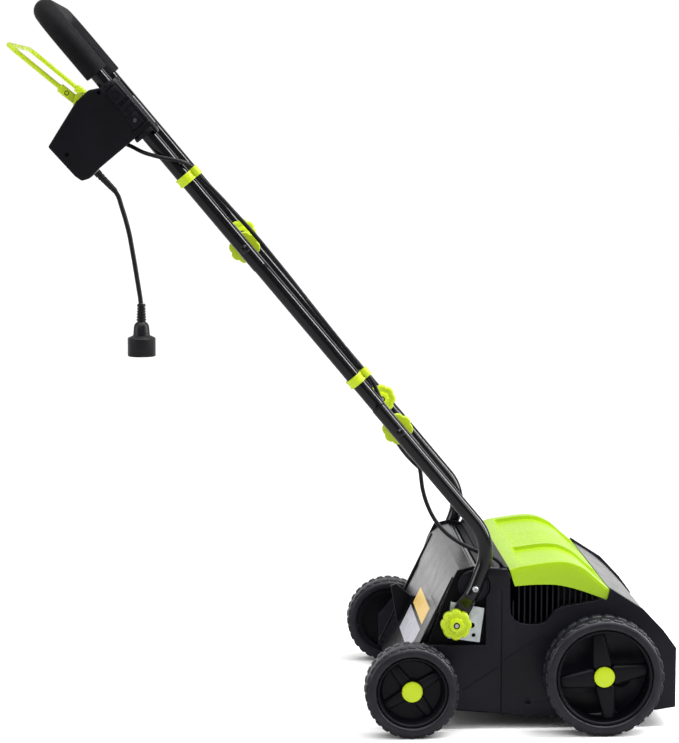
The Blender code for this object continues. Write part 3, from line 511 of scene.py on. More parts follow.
def makeStudio():
    s = studio
    bpy.ops.object.camera_add(location=s["eye"], rotation=(math.pi / 2 - s["down"], 0, -s["right"]))
    camera = bpy.context.object
    camera.data.sensor_width = 36
    camera.data.lens = s["lens"]
    camera.data.clip_end = 100
    bpy.context.scene.camera = camera
    bpy.ops.mesh.primitive_plane_add(size=60, location=(0, 20, 0))
    floor = bpy.context.object
    floor.name = "floor"
    paper = bpy.data.materials.new("whitePaper")
    paper.use_nodes = True
    tree = paper.node_tree
    shader = tree.nodes["Principled BSDF"]
    shader.inputs["Base Color"].default_value = linear("#fbfbfb")
    shader.inputs["Roughness"].default_value = 0.8
    place = addNode(tree, "ShaderNodeNewGeometry").outputs["Position"]
    front = frontness(tree, place, 0.2, 3.5)
    dimmed(tree, shader.outputs["BSDF"], s["floorDimmed"], front, "Material Output")
    floor.data.materials.append(paper)
    bpy.ops.object.light_add(type="AREA", location=s["strip"]["place"])
    strip = bpy.context.object   # a long strip beside the handle, for the bright line along each tube
    strip.name = "strip"
    strip.data.shape = "RECTANGLE"
    strip.data.size = s["strip"]["width"]
    strip.data.size_y = s["strip"]["length"]
    strip.data.energy = s["strip"]["watts"]
    along = Vector(s["strip"]["along"])
    inward = (Vector(s["strip"]["aim"]) - strip.location).normalized()
    inward = (inward - along * inward.dot(along)).normalized()
    sideways = along.cross(-inward)
    strip.rotation_euler = Matrix((sideways, along, -inward)).transposed().to_euler()
    for name, (place, size, watts, aim) in s["lights"].items():
        bpy.ops.object.light_add(type="AREA", location=place)
        light = bpy.context.object
        light.name = name
        light.data.shape = "DISK"
        light.data.size = size
        light.data.energy = watts
        light.rotation_euler = (Vector(aim) - Vector(place)).to_track_quat("-Z", "Y").to_euler()
    tilt = [math.radians(angle) for angle in s["sunTilt"]]
    bpy.ops.object.light_add(type="SUN", location=(0, 0, 4), rotation=(*tilt, 0))
    overhead = bpy.context.object   # a wide overhead softbox, even over the whole floor
    overhead.name = "overhead"
    overhead.data.energy = s["sun"]
    overhead.data.angle = math.radians(s["sunSpread"])
    bpy.context.scene.view_settings.view_transform = "Standard"
    sky = bpy.context.scene.world or bpy.data.worlds.new("sky")
    bpy.context.scene.world = sky
    sky.use_nodes = True
    tree = sky.node_tree
    room = tree.nodes["Background"]   # the dim room that lights the object
    room.inputs["Color"].default_value = (1, 1, 1, 1)
    room.inputs["Strength"].default_value = s["room"]
    paperSky = addNode(tree, "ShaderNodeBackground", {"Color": (1, 1, 1, 1), "Strength": 1.0})
    seen = addNode(tree, "ShaderNodeLightPath")   # the eye and reflections from behind see white paper
    front = frontness(tree, addNode(tree, "ShaderNodeTexCoord").outputs["Generated"], 0.1, 0.9)
    behind = addNode(tree, "ShaderNodeMath", {"operation": "SUBTRACT"})
    behind.inputs[0].default_value = 1.0
    tree.links.new(front, behind.inputs[1])
    shown = addNode(tree, "ShaderNodeMath", {"operation": "MAXIMUM"})
    tree.links.new(seen.outputs["Is Camera Ray"], shown.inputs[0])
    bright = times(tree, seen.outputs["Is Glossy Ray"], s["brightBehind"])
    tree.links.new(times(tree, bright, behind.outputs["Value"]), shown.inputs[1])
    mix = addNode(tree, "ShaderNodeMixShader", None, Fac=shown.outputs["Value"])
    tree.links.new(room.outputs["Background"], mix.inputs[1])
    tree.links.new(paperSky.outputs["Background"], mix.inputs[2])
    dimmed(tree, mix.outputs["Shader"], s["roomDimmed"], front, "World Output")


makeStudio()
print("studio made")


# Power cord, hanging from the switch box

cordShape = {"radius": 0.0035, "y": -0.2315, "spacing": 0.006, "plugX": -0.3952,
             "boot": ((-0.4578, 0.8368), (-0.4325, 0.8107)),
             "route": [(-0.4315, 0.8095), (-0.4265, 0.8010), (-0.4230, 0.7891), (-0.4176, 0.7712),
                       (-0.4116, 0.7474), (-0.4076, 0.7245), (-0.4037, 0.7007), (-0.4002, 0.6778),
                       (-0.3967, 0.6550), (-0.3957, 0.6461)]}


def makeCord():
    line = smoothLine([world(x, cordShape["y"], z) for x, z in cordShape["route"]], cordShape["spacing"])
    cord = tube(line, cordShape["radius"], 5)
    cord.name = "powerCordJacket"
    cord.data.materials.append(finish["extrudedPvc"])
    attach(cord, "handle_upper")
    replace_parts(cord, "power_cord")
    top = world(cordShape["plugX"], cordShape["y"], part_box("plug")[1].z)
    profile = [(0.0, 0.0), (0.0056, 0.0)]
    for step in range(6):   # strain relief with shallow ribs
        drop = -0.0022 - 0.0040 * step
        profile += [(0.0062 + 0.0002 * step, drop), (0.0062 + 0.0002 * step, drop - 0.0022),
                    (0.0050 + 0.0002 * step, drop - 0.0024), (0.0050 + 0.0002 * step, drop - 0.0038)]
    profile += [(0.0096, -0.0290), (0.0112, -0.0330), (0.0124, -0.0460), (0.0190, -0.0490),
                (0.0205, -0.0505), (0.0205, -0.0755), (0.0198, -0.0765), (0.0178, -0.0765),
                (0.0175, -0.0755), (0.0175, -0.0650), (0.0, -0.0650)]
    body = lathe(profile, top, (0, 0, 1), 56)
    blades = [block(top + Vector((-0.003, side * 0.0063 - 0.0008, -0.0745)),
                    top + Vector((0.003, side * 0.0063 + 0.0008, -0.0640))) for side in (-1, 1)]
    for blade in blades:
        blade.data.materials.append(finish["platedSteel"])
    body.data.materials.append(finish["extrudedPvc"])
    merged(body, *blades)
    plug = finished(body, "shroudedPlug", None, "handle_upper", ["plug"])
    start, end = [world(x, cordShape["y"], z) for x, z in cordShape["boot"]]
    lean = end - start
    profile = [(0.0, 0.0), (0.0056, 0.0)]
    for step in range(5):
        rise = 0.006 + 0.0056 * step
        profile += [(0.0056 - 0.0003 * step, rise), (0.0046, rise + 0.0006), (0.0046, rise + 0.0018),
                    (0.0054 - 0.0003 * step, rise + 0.0024)]
    profile += [(0.0042, lean.length), (0.0038, lean.length + 0.0026), (0.0, lean.length + 0.0026)]
    boot = lathe(profile, start, lean, 32)
    finished(boot, "cordBoot", finish["extrudedPvc"], "handle_upper", ["cord_boot"])


makeCord()
print("cord made")


# Wheels

wheels = {
    "rear": {"node": "rear_axle", "radius": 0.070, "lugs": 30, "spokes": (31, 128, 211, 306)},
    "front": {"node": "front_axle_right", "radius": 0.089, "lugs": 28, "spokes": (8, 98, 188, 278)},
}
wheelShape = {"depth": 0.017, "halfWidth": 0.0225, "y": -0.2475, "lugHeight": 0.0013, "spokeInner": 0.0120,
              "capRadius": 0.0155}


def makeTyre(end, facts):
    centre = middleOf(facts["node"])
    centre.y = wheelShape["y"]
    radius, half = facts["radius"], wheelShape["halfWidth"]
    base = radius - wheelShape["lugHeight"]
    inner = radius - wheelShape["depth"]
    side = [(inner, half - 0.0050), (inner + 0.0012, half - 0.0016), (inner + 0.0030, half - 0.0004),
            (inner + 0.0050, half), (inner + 0.0085, half - 0.0004), (inner + 0.0112, half - 0.0014),
            (inner + 0.0134, half - 0.0032), (base - 0.0008, half - 0.0056), (base, half - 0.0090)]
    profile = side + [(r, -y) for r, y in reversed(side)]
    body = lathe(profile, centre, (0, 1, 0), 120)
    pitch = 2 * math.pi * radius / facts["lugs"]
    rows = []
    for face, turn in ((-1, 0.0), (1, 0.5)):
        near, far = sorted((face * 0.0040, face * (half - 0.0030)))
        lug = block(centre + Vector((-pitch * 0.42, near, radius - 0.0050)),
                    centre + Vector((pitch * 0.42, far, radius - 0.0002)))
        tapered(lug, lambda side: side.normal.z > 0.9, (0.82, 0.88, 1.0),
                centre + Vector((0, face * 0.010, radius)))
        bevelled(lug, 0.0018, 2)
        turnedAbout(lug, 2 * math.pi * turn / facts["lugs"], centre)
        rows.append(repeated(lug, centre, (0, 1, 0), facts["lugs"]))
    merged(body, *rows)
    finishedPair(body, f"{end}Tyre", finish["mouldedVinylTyre"], f"wheel_{end}_right",
                 [f"tyre_{end}_right"], 40)


def spokeOf(centre, reach, angle, size, taper, y, crown):
    spoke = block(centre + Vector((wheelShape["spokeInner"], y, -size / 2)),
                  centre + Vector((reach, y + crown, size / 2)))
    tapered(spoke, lambda face: face.normal.x > 0.9, (1, 0.8, taper), centre + Vector((reach, y + crown, 0)))
    bevelled(spoke, min(size * 0.27, crown * 0.48), 4)
    turnedAbout(spoke, math.radians(angle), centre)
    return spoke


def makeRim(end, facts):
    centre = middleOf(facts["node"])
    centre.y = wheelShape["y"]
    seat = facts["radius"] - wheelShape["depth"] - 0.0003
    lip = [(seat, 0.018), (seat, -0.0176), (seat - 0.0010, -0.0190), (seat - 0.0030, -0.0190),
           (seat - 0.0046, -0.0176)]
    if end == "front":
        ring = lip + [(seat - 0.0060, -0.0040), (seat - 0.0060, 0.018)]
        hub = [(0.0145, 0.020), (0.0150, -0.0080), (0.0138, -0.0120), (0.0062, -0.0120), (0.0062, 0.020)]
        body = merged(lathe(ring, centre, (0, 1, 0), 96), lathe(hub, centre, (0, 1, 0), 48))
        spokes = [spokeOf(centre, seat - 0.003, angle, 0.0320, 0.58, -0.0125, 0.0170)
                  for angle in facts["spokes"]]
    else:
        dish = lip + [(seat - 0.0072, -0.0020), (seat - 0.0095, 0.0010), (0.0180, 0.0010), (0.0150, -0.0080),
                      (0.0138, -0.0120), (0.0043, -0.0120), (0.0043, 0.020), (0.0138, 0.020),
                      (0.0150, 0.0060), (seat - 0.0060, 0.0060), (seat - 0.0060, 0.018)]
        body = lathe(dish, centre, (0, 1, 0), 96)
        spokes = [spokeOf(centre, seat - 0.004, angle, 0.0180, 0.80, -0.0085, 0.0130)
                  for angle in facts["spokes"]]
    merged(body, *spokes)
    finishedPair(body, f"{end}Rim", finish["mouldedPolypropylene"], f"wheel_{end}_right",
                 [f"rim_{end}_right"], 40)
    size = wheelShape["capRadius"]
    cap = [(0.0, -0.0165), (size * 0.55, -0.0163), (size * 0.86, -0.0158), (size * 0.96, -0.0148),
           (size, -0.0132), (size, -0.0122), (0.0, -0.0122)]
    finishedPair(lathe(cap, centre, (0, 1, 0), 56), f"{end}HubCap", finish["limePolypropylene"],
                 f"wheel_{end}_right", (), 40)


for end, facts in wheels.items():
    makeTyre(end, facts)
    makeRim(end, facts)
print("wheels made")


# Lime hood

hoodShape = {
    "top": [(0.1500, 0.2415), (0.165, 0.2465), (0.190, 0.2505), (0.216, 0.2535), (0.236, 0.2530),
            (0.252, 0.2480), (0.266, 0.2400), (0.284, 0.2240), (0.3000, 0.2105)],
    "edge": [(0.1575, 0.2171), (0.189, 0.2191), (0.222, 0.2181), (0.255, 0.2101), (0.2965, 0.1951)],
    "half": 0.208, "rail": 0.022, "plateau": 0.060, "floor": 0.0055, "slope": 0.0016, "border": 0.020,
    "ribs": 7, "ribHeight": 0.0014, "rows": 64, "wallRows": 6, "wall": 0.0025,
}


def lineAt(points, part):
    place = part * (len(points) - 1)
    index = min(int(place), len(points) - 2)
    a, b = Vector(points[index]), Vector(points[index + 1])
    return a + (b - a) * (place - index)


def lineZ(points, x):   # height of a line of (x, z) points at x
    points = sorted(points)
    for (x0, z0), (x1, z1) in zip(points, points[1:]):
        if x0 <= x <= x1 and x1 > x0:
            return z0 + (z1 - z0) * (x - x0) / (x1 - x0)
    return points[-1][1]


def step(value, start, width):   # 0 before start, rising to 1 over width
    t = min(1.0, max(0.0, (value - start) / width))
    return t * t * (3 - 2 * t)


def makeHood():
    s = hoodShape
    rearEnd, frontEnd = s["top"][0][0], s["top"][-1][0]
    top, edge = smoothProfile(s["top"], 0.0012), smoothProfile(s["edge"], 0.0012)
    across = [-s["half"] + s["rail"] * i / 6 for i in range(6)]   # y of each column, rail to plateau
    across += [-s["half"] + s["rail"] + s["slope"] * i / 3 for i in range(4)]
    start = across[-1]
    across += [start + (-s["plateau"] - s["slope"] - start) * i / 6 for i in range(1, 6)]
    across += [-s["plateau"] - s["slope"] + s["slope"] * i / 3 for i in range(4)]
    pitch = 2 * s["plateau"] / (s["ribs"] + 1)
    for rib in range(1, s["ribs"] // 2 + 1):
        middle = -s["plateau"] + pitch * rib
        across += [middle - 0.0016, middle - 0.0006, middle + 0.0006, middle + 0.0016]
    across += [-0.0016, -0.0006]
    across += [-y for y in reversed(across)]
    walls = s["wallRows"]
    columns = len(across) + 2 * walls
    bpy.ops.mesh.primitive_grid_add(x_subdivisions=s["rows"], y_subdivisions=columns - 1, location=(0, 0, 0))
    hood = bpy.context.object
    corners = hood.data.vertices
    perRow = s["rows"] + 1
    for index, corner in enumerate(corners):
        row, column = index % perRow, index // perRow
        part = row / s["rows"]
        x, z = lineAt(top, part)
        if column < walls or column >= columns - walls:   # the side walls
            side = -1 if column < walls else 1
            down = (walls - column if column < walls else column - (columns - walls) + 1) / walls
            low = lineAt(edge, part)
            high = Vector((x, z - 0.0012))
            spot = high + (low - high) * down
            corner.co = world(spot.x, side * (s["half"] + 0.0008 * min(1, down * 6)), spot.y)
        else:
            y = across[column - walls]
            rear = step(x, rearEnd + s["border"], 0.003)
            front = 1 - step(x, frontEnd - 0.004, 0.004)
            sunk = step(abs(y), s["plateau"], s["slope"])
            sunk *= 1 - step(abs(y), s["half"] - s["rail"] - s["slope"], s["slope"])
            z -= s["floor"] * sunk * rear * front
            if abs(y) < s["plateau"] - pitch / 2:
                near = abs((y / pitch) - round(y / pitch)) * pitch
                groove = (1 - step(near, 0.0006, 0.0010)) * step(x, rearEnd + s["border"] + 0.004, 0.002)
                z -= s["ribHeight"] * groove
            if abs(y) > s["half"] - 0.001:
                z -= 0.0008
            corner.co = world(x, y, z)
    closeUp(hood)
    facing(hood, (0, 0, 1), len(hood.data.polygons) // 2)
    walled(hood, s["wall"])
    finished(hood, "hoodShell", finish["limeAbs"], "chassis", ["hood"], 50)


makeHood()
print("hood made")


# Body shell

panelShape = {
    "inner": -0.200, "outer": -0.212,
    "outline": [(-0.020, 0.034), (-0.020, 0.085), (0.016, 0.1285), (0.114, 0.1285), (0.114, 0.236),
                (0.120, 0.2455), (0.146, 0.243), (0.1575, 0.2165), (0.189, 0.2185), (0.222, 0.2175),
                (0.255, 0.2095), (0.2965, 0.1945), (0.3015, 0.2125), (0.352, 0.180), (0.383, 0.147),
                (0.402, 0.121), (0.402, 0.030), (0.376, 0.026), (0.200, 0.018), (0.080, 0.030)],
    "opening": [(0.1500, 0.230), (0.1505, 0.185), (0.1520, 0.174), (0.1580, 0.1655), (0.1680, 0.1605),
                (0.1800, 0.1588), (0.1930, 0.1590), (0.2030, 0.1620), (0.2100, 0.1700), (0.2170, 0.1800),
                (0.2280, 0.1850), (0.2500, 0.1890), (0.2760, 0.1935), (0.2860, 0.1960), (0.2860, 0.230)],
    "backing": [(0.022, 0.110), (0.062, 0.220), (0.072, 0.240), (0.096, 0.246), (0.128, 0.240),
                (0.128, 0.110)],
    "seamX": 0.137, "slatPitch": 0.0085, "slatWidth": 0.0022, "firstSlat": 0.1545, "lastSlat": 0.284,
    "creases": (((0.080, 0.060), (0.133, 0.094)), ((0.140, 0.104), (0.200, 0.144))),
}


def makeSidePanel():
    s = panelShape
    panel = plate(s["outline"], s["outer"], s["inner"])
    holes = [plate(s["opening"], s["outer"] - 0.004, s["inner"] + 0.004),
             spindle(world(0.178, 0, 0.041), s["outer"] - 0.003, s["outer"] + 0.006, 0.004, 24),
             spindle(handlePivot, s["outer"] - 0.003, s["inner"] + 0.003, 0.0242, 64),
             block(world(s["seamX"], s["outer"] - 0.002, 0.018),
                   world(s["seamX"] + 0.0012, s["outer"] + 0.0012, 0.2115)),
             spindle(world(0.318, 0, 0.078), s["outer"] - 0.003, s["inner"] + 0.003, 0.0163, 40)]
    carved(panel, *holes)
    bevelled(panel, 0.0010, 3)
    # the side panel's lighter black is painted sheen, not a different plastic
    panel.data.materials.append(finish["wallPolypropylenePaintedSheen"])
    extras = []
    for start, end in s["creases"]:
        a, b = world(start[0], s["outer"], start[1]), world(end[0], s["outer"], end[1])
        run = b - a
        ridge = turnedBlock((a + b) / 2, (run.length, 0.0016, 0.0014), math.atan2(run.z, run.x))
        extras.append(bevelled(ridge, 0.0005, 2))
    x = s["firstSlat"]
    while x < s["lastSlat"]:   # upright slats, set back in the opening
        bottom = lineZ(s["opening"][1:-1], x) - 0.002
        top = lineZ(hoodShape["edge"], x) - 0.0004
        slat = block(world(x, s["outer"] + 0.0046, bottom), world(x + s["slatWidth"], s["inner"], top))
        extras.append(bevelled(slat, 0.0005, 2))
        x += s["slatPitch"]
    backing = plate(s["backing"], s["inner"] - 0.001, s["inner"] + 0.004)
    backing.data.materials.append(finish["innerMoulding"])
    extras.append(backing)
    boss = lathe([(0.0, -0.209), (0.0205, -0.209), (0.0215, -0.2098), (0.0228, -0.2098), (0.0235, -0.2088),
                  (0.0235, -0.198), (0.0, -0.198)], handlePivot, (0, 1, 0), 64)
    extras.append(boss)
    merged(panel, *extras)
    finishedPair(panel, "sidePanel", None, "chassis", ["side_panel_right"])


def sheetOf(profile, half, thickness, outside=None):   # a bent sheet across the machine
    bpy.ops.mesh.primitive_grid_add(x_subdivisions=len(profile) - 1, y_subdivisions=1, location=(0, 0, 0))
    piece = bpy.context.object
    for index, corner in enumerate(piece.data.vertices):
        x, z = profile[index % len(profile)]
        corner.co = world(x, half if index >= len(profile) else -half, z)
    closeUp(piece)
    if outside:
        facing(piece, outside)
    return walled(piece, thickness)


coverShape = {"half": 0.1994, "wall": 0.003, "ledge": ((0.3985, -0.199, 0.0490), (0.4020, 0.199, 0.0525)),
              "profile": [(0.400, 0.032), (0.4005, 0.050), (0.4000, 0.100), (0.397, 0.121), (0.380, 0.144),
                          (0.3485, 0.177), (0.328, 0.1925), (0.303, 0.2085)]}
# a near-black sheet low under the deck: painted shade below the panels
shadeSheetShape = {"half": 0.188, "wall": 0.002, "profile": [(0.060, 0.026), (0.110, 0.0215), (0.180, 0.0165),
                                                        (0.225, 0.0165)]}
bridgeShape = {"half": 0.1985, "wall": 0.002,
               "profile": [(0.1085, 0.2370), (0.122, 0.2395), (0.138, 0.2440), (0.1490, 0.2440),
                           (0.1495, 0.2380)]}


def makeFrontCover():
    s = coverShape
    cover = sheetOf(smoothProfile(s["profile"], 0.006), s["half"], s["wall"], (1, 0, 0))
    low, high = s["ledge"]
    ledge = bevelled(block(world(*low), world(*high)), 0.0008, 2)
    merged(cover, ledge)
    finished(cover, "frontCoverShell", finish["polishedAbs"], "chassis", ["front_cover"])


def makeShadeSheetAndBridge():   # a near-black sheet seen below the panels, which stands in for the shade under the deck (painted shade), and a bridge that closes the top behind the hood
    shadeSheet = sheetOf(shadeSheetShape["profile"], shadeSheetShape["half"], shadeSheetShape["wall"])
    # painted shade: the dark sheet fills the shaded gap under the deck
    finished(shadeSheet, "underDeckShadeSheet", finish["innerMoulding"], "chassis", ())
    bridge = sheetOf(bridgeShape["profile"], bridgeShape["half"], bridgeShape["wall"])
    finished(bridge, "rearBridge", finish["mouldedPolypropylene"], "chassis", ())


def makeBracket():
    bracket = bevelled(fromFrame("zinc_bracket_right"), 0.0005, 2)
    finishedPair(bracket, "heightBracket", finish["zincPlate"], "chassis", ["zinc_bracket_right"])


makeSidePanel()
makeFrontCover()
makeShadeSheetAndBridge()
makeBracket()
print("shell made")


# Rear flap

flapShape = {"half": 0.186, "wall": 0.0022, "profile": [(-0.019, 0.0465), (0.069, 0.228), (0.078, 0.2365),
                                                        (0.0955, 0.2405)],
             "shoulder": 0.1945, "crease": 0.179,
             "yellow": ((-0.115, 0.048), (0.139, 0.164)), "silver": ((-0.120, 0.060), (0.096, 0.133)),
             "tab": [(0.028, 0.137), (0.002, 0.160), (-0.007, 0.156), (0.004, 0.094)]}


def flapX(z):   # x of the flap's outer face at height z
    (x0, z0), (x1, z1) = flapShape["profile"][:2]
    return x0 + (x1 - x0) * (z - z0) / (z1 - z0)


def onFlap(y, z, off):
    (x0, z0), (x1, z1) = flapShape["profile"][:2]
    out = Vector((-(z1 - z0), 0, x1 - x0)).normalized()
    return world(flapX(z), y, z) + out * off


def patchOnFlap(yRange, zRange, off, material, name):
    bpy.ops.mesh.primitive_grid_add(x_subdivisions=1, y_subdivisions=1, location=(0, 0, 0))
    patch = bpy.context.object
    for corner, (y, z) in zip(patch.data.vertices, [(y, z) for z in zRange for y in yRange]):
        corner.co = onFlap(y, z, off)
    closeUp(patch)
    facing(patch, (-1, 0, 0))
    walled(patch, 0.0002)
    return finished(patch, name, finish[material], "rear_flap")


def makeFlap():
    s = flapShape
    profile = roundedLine([Vector((x, 0, z)) for x, z in s["profile"]], 0.006, 5)
    flap = sheetOf([(spot.x, spot.z) for spot in profile], s["half"], s["wall"], (-1, 0, 0))
    extras = []
    for side in (-1, 1):   # raised rim along each edge
        start, end = onFlap(0, 0.0475, 0.0016), onFlap(0, 0.226, 0.0016)
        run = end - start
        middle = (start + end) / 2
        middle.y = side * (s["half"] - 0.004)
        rim = turnedBlock(middle, (run.length, 0.008, 0.0032), math.atan2(run.z, run.x))
        extras.append(bevelled(rim, 0.0010, 2))
    extras.append(spindle(world(0.100, 0, 0.234), -s["half"], s["half"], 0.0066, 32))
    raised = [onFlap(0, s["crease"] - 0.004, 0.0002), onFlap(0, s["crease"] + 0.006, 0.0012),
              onFlap(0, 0.2270, 0.0012)]
    raised = [(spot.x - rearX, spot.z) for spot in raised] + [(x - 0.0012, z + 0.0014) for x,
                                                              z in s["profile"][2:]]
    # wider and raised above the crease
    extras.append(sheetOf(raised, s["shoulder"], s["wall"], (-1, 0, 0)))
    merged(flap, *extras)
    finished(flap, "rearFlapShell", finish["polishedAbs"], "rear_flap", ["rear_flap"])
    tab = bevelled(plate(s["tab"], 0.0955, 0.1045), 0.0010, 2)
    finished(tab, "liftTab", finish["mouldedPolypropylene"], "rear_flap", ())
    patchOnFlap(*s["yellow"], 0.0003, "yellowLabel", "upperLabel")
    patchOnFlap(*s["silver"], 0.0003, "silverLabel", "lowerLabel")


makeFlap()
print("flap made")


# Handle tubes

tubeShape = {"radius": 0.011, "outerY": -0.2205, "innerY": -0.1980, "lap": 0.036, "wall": 0.0014,
             "lowEnd": 0.034, "reach": 0.4495, "bow": 0.055}
gripShape = {"radius": 0.0178, "wall": 0.0060, "leg": 0.118}


def pressedEnd(piece, lock, pivot):   # the lower end is pressed flat against the bracket
    axis = (pivot - lock).normalized()
    across = Vector((axis.z, 0, -axis.x))
    for corner in piece.data.vertices:
        offset = corner.co - lock
        press = 1 - step(offset.dot(axis), 0.028, 0.021)
        off = (corner.co.y - tubeShape["outerY"]) * (1 - press * 0.72)
        corner.co.y = tubeShape["outerY"] + 0.0079 * press + off
        corner.co += across * (offset.dot(across) * press * 0.16)


def makeLowerTubes():
    s = tubeShape
    y = s["outerY"]
    lock, pivot = middleOf("lock_knob_right"), handlePivot.copy()
    lock.y = pivot.y = y
    foot = lock + (lock - pivot).normalized() * 0.014
    line = [foot] + [lock.lerp(pivot, part / 20) for part in range(0, 18)]
    bend = roundedLine([pivot, world(0.1216, y, 0.2861), onHandle(0.049, 0, y)], 0.07, 18)
    piece = meshed(tube(line + bend, s["radius"], 10, False))
    pressedEnd(piece, lock, pivot)
    walled(piece, s["wall"])
    cap = spindle(Vector((0, 0, 0)), -0.0008, 0.0008, s["radius"] - 0.0002, 32)
    cap.rotation_mode = "QUATERNION"
    cap.rotation_quaternion = upward.to_track_quat("Y", "Z")
    cap.location = onHandle(0.0485, 0, y)
    only(cap)
    bpy.ops.object.transform_apply(location=True, rotation=True, scale=True)
    cap.data.materials.append(finish["mouldedPolypropylene"])
    piece.data.materials.append(finish["glossEnamel"])
    merged(piece, cap)
    finishedPair(piece, "lowerTube", None, "handle_lower", ["lower_tube_right"], 40)


def makeMiddleTubes():
    s = tubeShape
    y = s["innerY"]
    reach = foldHigh - foldLow
    reach.y = 0
    piece = meshed(tube([onHandle(-s["lap"], 0, y), onHandle(reach.length + s["lap"], 0, y)], s["radius"],
                        10, False))
    walled(piece, s["wall"])
    finishedPair(piece, "middleTube", finish["glossEnamel"], "handle_middle", ["middle_tube_right"],
                 40)
    return reach.length


def bowLine(low, top, y):   # up one leg, across and down the other
    spots = [onHandle(low, 0, y), onHandle(top, 0, y), onHandle(top, 0, -y), onHandle(low, 0, -y)]
    return roundedLine(spots, tubeShape["bow"], 20)


def makeUpperTube(fold):
    s = tubeShape
    y, top = s["outerY"], fold + s["reach"]
    piece = walled(meshed(tube(bowLine(fold - s["lowEnd"], top, y), s["radius"], 10, False)), s["wall"])
    finished(piece, "upperTube", finish["glossEnamel"], "handle_upper", ["upper_tube"],
             40)
    line = bowLine(top - gripShape["leg"], top, y)
    piece = walled(meshed(tube(line, gripShape["radius"], 12, False)), gripShape["wall"])
    bevelled(piece, 0.0016, 3, 60)
    foam = finished(piece, "foamGripSleeve", finish["nitrileFoam"], "handle_upper", ["foam_grip"],
                    50)


makeLowerTubes()
foldReach = makeMiddleTubes()
makeUpperTube(foldReach)
print("handle made")


# Star knobs and bolts

knobShape = {
    "lobes": 8, "radius": 0.0205, "wave": 0.070, "sides": 128, "height": 0.0190,
    # share of the height, and size over the ring before
    "rings": [(0.10, 1.05), (0.52, 1.0), (0.12, 0.93), (0.0, 0.80), (-0.05, 0.97), (0.0, 0.72), (0.16, 0.90),
              (0.12, 0.97), (0.0, 0.62)],
}


def makeKnob(centre, base, out, name, node):   # out is -1 or 1 along Y
    s = knobShape
    bpy.ops.mesh.primitive_circle_add(vertices=s["sides"], radius=s["radius"], fill_type="NGON",
                                      location=(centre.x, base, centre.z), rotation=(math.pi / 2, 0, 0))
    piece = bpy.context.object
    for corner in piece.data.vertices:
        angle = math.atan2(corner.co.y, corner.co.x)
        corner.co *= 1 + s["wave"] * (2 * abs(math.cos(s["lobes"] * angle / 2)) ** 0.6 - 1)
    bpy.ops.object.transform_apply(location=True, rotation=True, scale=True)
    openFaces(piece)
    level = base
    for rise, size in s["rings"]:
        level += out * rise * s["height"]
        bpy.ops.mesh.extrude_region_move(TRANSFORM_OT_translate={"value": (0, out * rise * s["height"], 0)})
        bpy.ops.transform.resize(value=(size, 1, size), center_override=(centre.x, level, centre.z))
    bpy.ops.object.mode_set(mode="OBJECT")
    closeUp(piece)
    bevelled(piece, 0.0007, 2, 40)
    piece.data.materials.append(finish["limePolypropylene"])
    axis = Vector((centre.x, 0, centre.z))
    stud = lathe([(0.0, level + out * 0.0016), (0.0026, level + out * 0.0016),
                  (0.0030, level + out * 0.0008), (0.0030, level - out * 0.002),
                  (0.0, level - out * 0.002)], axis, (0, 1, 0), 24)
    stud.data.materials.append(finish["platedSteel"])
    ring = lathe([(0.0030, level + out * 0.0002), (0.0048, level + out * 0.0002),
                  (0.0048, level - out * 0.002), (0.0030, level - out * 0.002)], axis, (0, 1, 0), 24)
    ring.data.materials.append(finish["innerMoulding"])
    merged(piece, stud, ring)
    finishedPair(piece, name, None, node, [node], 30)


def makeKnobs():
    makeKnob(middleOf("lock_knob_right"), -0.2160, -1, "lockKnob", "lock_knob_right")
    for word, place in (("low", foldLow), ("high", foldHigh)):
        makeKnob(place, -0.1865, 1, f"{word}Knob", f"{word}_knob_right")


def makeBolts():
    face = tubeShape["outerY"] - tubeShape["radius"]
    for word, place, body in (("low", foldLow, "handle_middle"), ("high", foldHigh, "handle_upper")):
        centre = Vector((place.x, 0, place.z))
        dome = lathe([(0.0, face - 0.0030), (0.0030, face - 0.0027), (0.0054, face - 0.0016),
                      (0.0066, face + 0.0002), (0.0030, face + 0.0008), (0.0030, -0.1780), (0.0, -0.1780)],
                      centre, (0, 1, 0), 32)
        finishedPair(dome, f"{word}CoachBolt", finish["glossEnamel"], body, [f"{word}_bolt_right"],
                     30)
    head = lathe([(0.0, face - 0.0018), (0.0015, face - 0.0018), (0.0016, face - 0.0030),
                  (0.0028, face - 0.0032), (0.0034, face - 0.0026), (0.0034, face - 0.0002),
                  (0.0046, face + 0.0000), (0.0046, face + 0.0008), (0.0030, face + 0.0008),
                  (0.0030, -0.195), (0.0, -0.195)], handlePivot, (0, 1, 0), 36)
    finishedPair(head, "pivotScrew", finish["platedSteel"], "chassis", ["pivot_bolt_right"],
                 30)


makeKnobs()
makeBolts()
print("knobs made")


# Switch box, bail and clips

boxShape = {
    "outline": [(-0.527, 0.873), (-0.486, 0.938), (-0.468, 0.9545), (-0.4505, 0.958), (-0.4390, 0.9690),
                (-0.4275, 0.9665), (-0.3690, 0.8985), (-0.3690, 0.8935), (-0.385, 0.8995), (-0.4545, 0.8415),
                (-0.4675, 0.8275), (-0.4790, 0.8240), (-0.4885, 0.8305)],
    "near": -0.2378, "parting": -0.2205, "far": -0.1782,
    "collar": 0.0188, "collarEnds": (0.572, 0.664),
}


# (radius, share of the length) points, turned about the line of the handle
def alongTube(low, high, profile, aside=0.0, y=tubeShape["outerY"], steps=56):
    base = onHandle(low, aside, y)
    return lathe([(radius, share * (high - low)) for radius, share in profile], base, upward, steps)


def padOn(distance, aside, length, width, low, high, bevel):   # a raised pad, square to the handle
    centre = onHandle(distance, aside, (low + high) / 2)
    pad = turnedBlock(centre, (length, high - low, width), math.atan2(upward.z, upward.x))
    return bevelled(pad, bevel, 2)


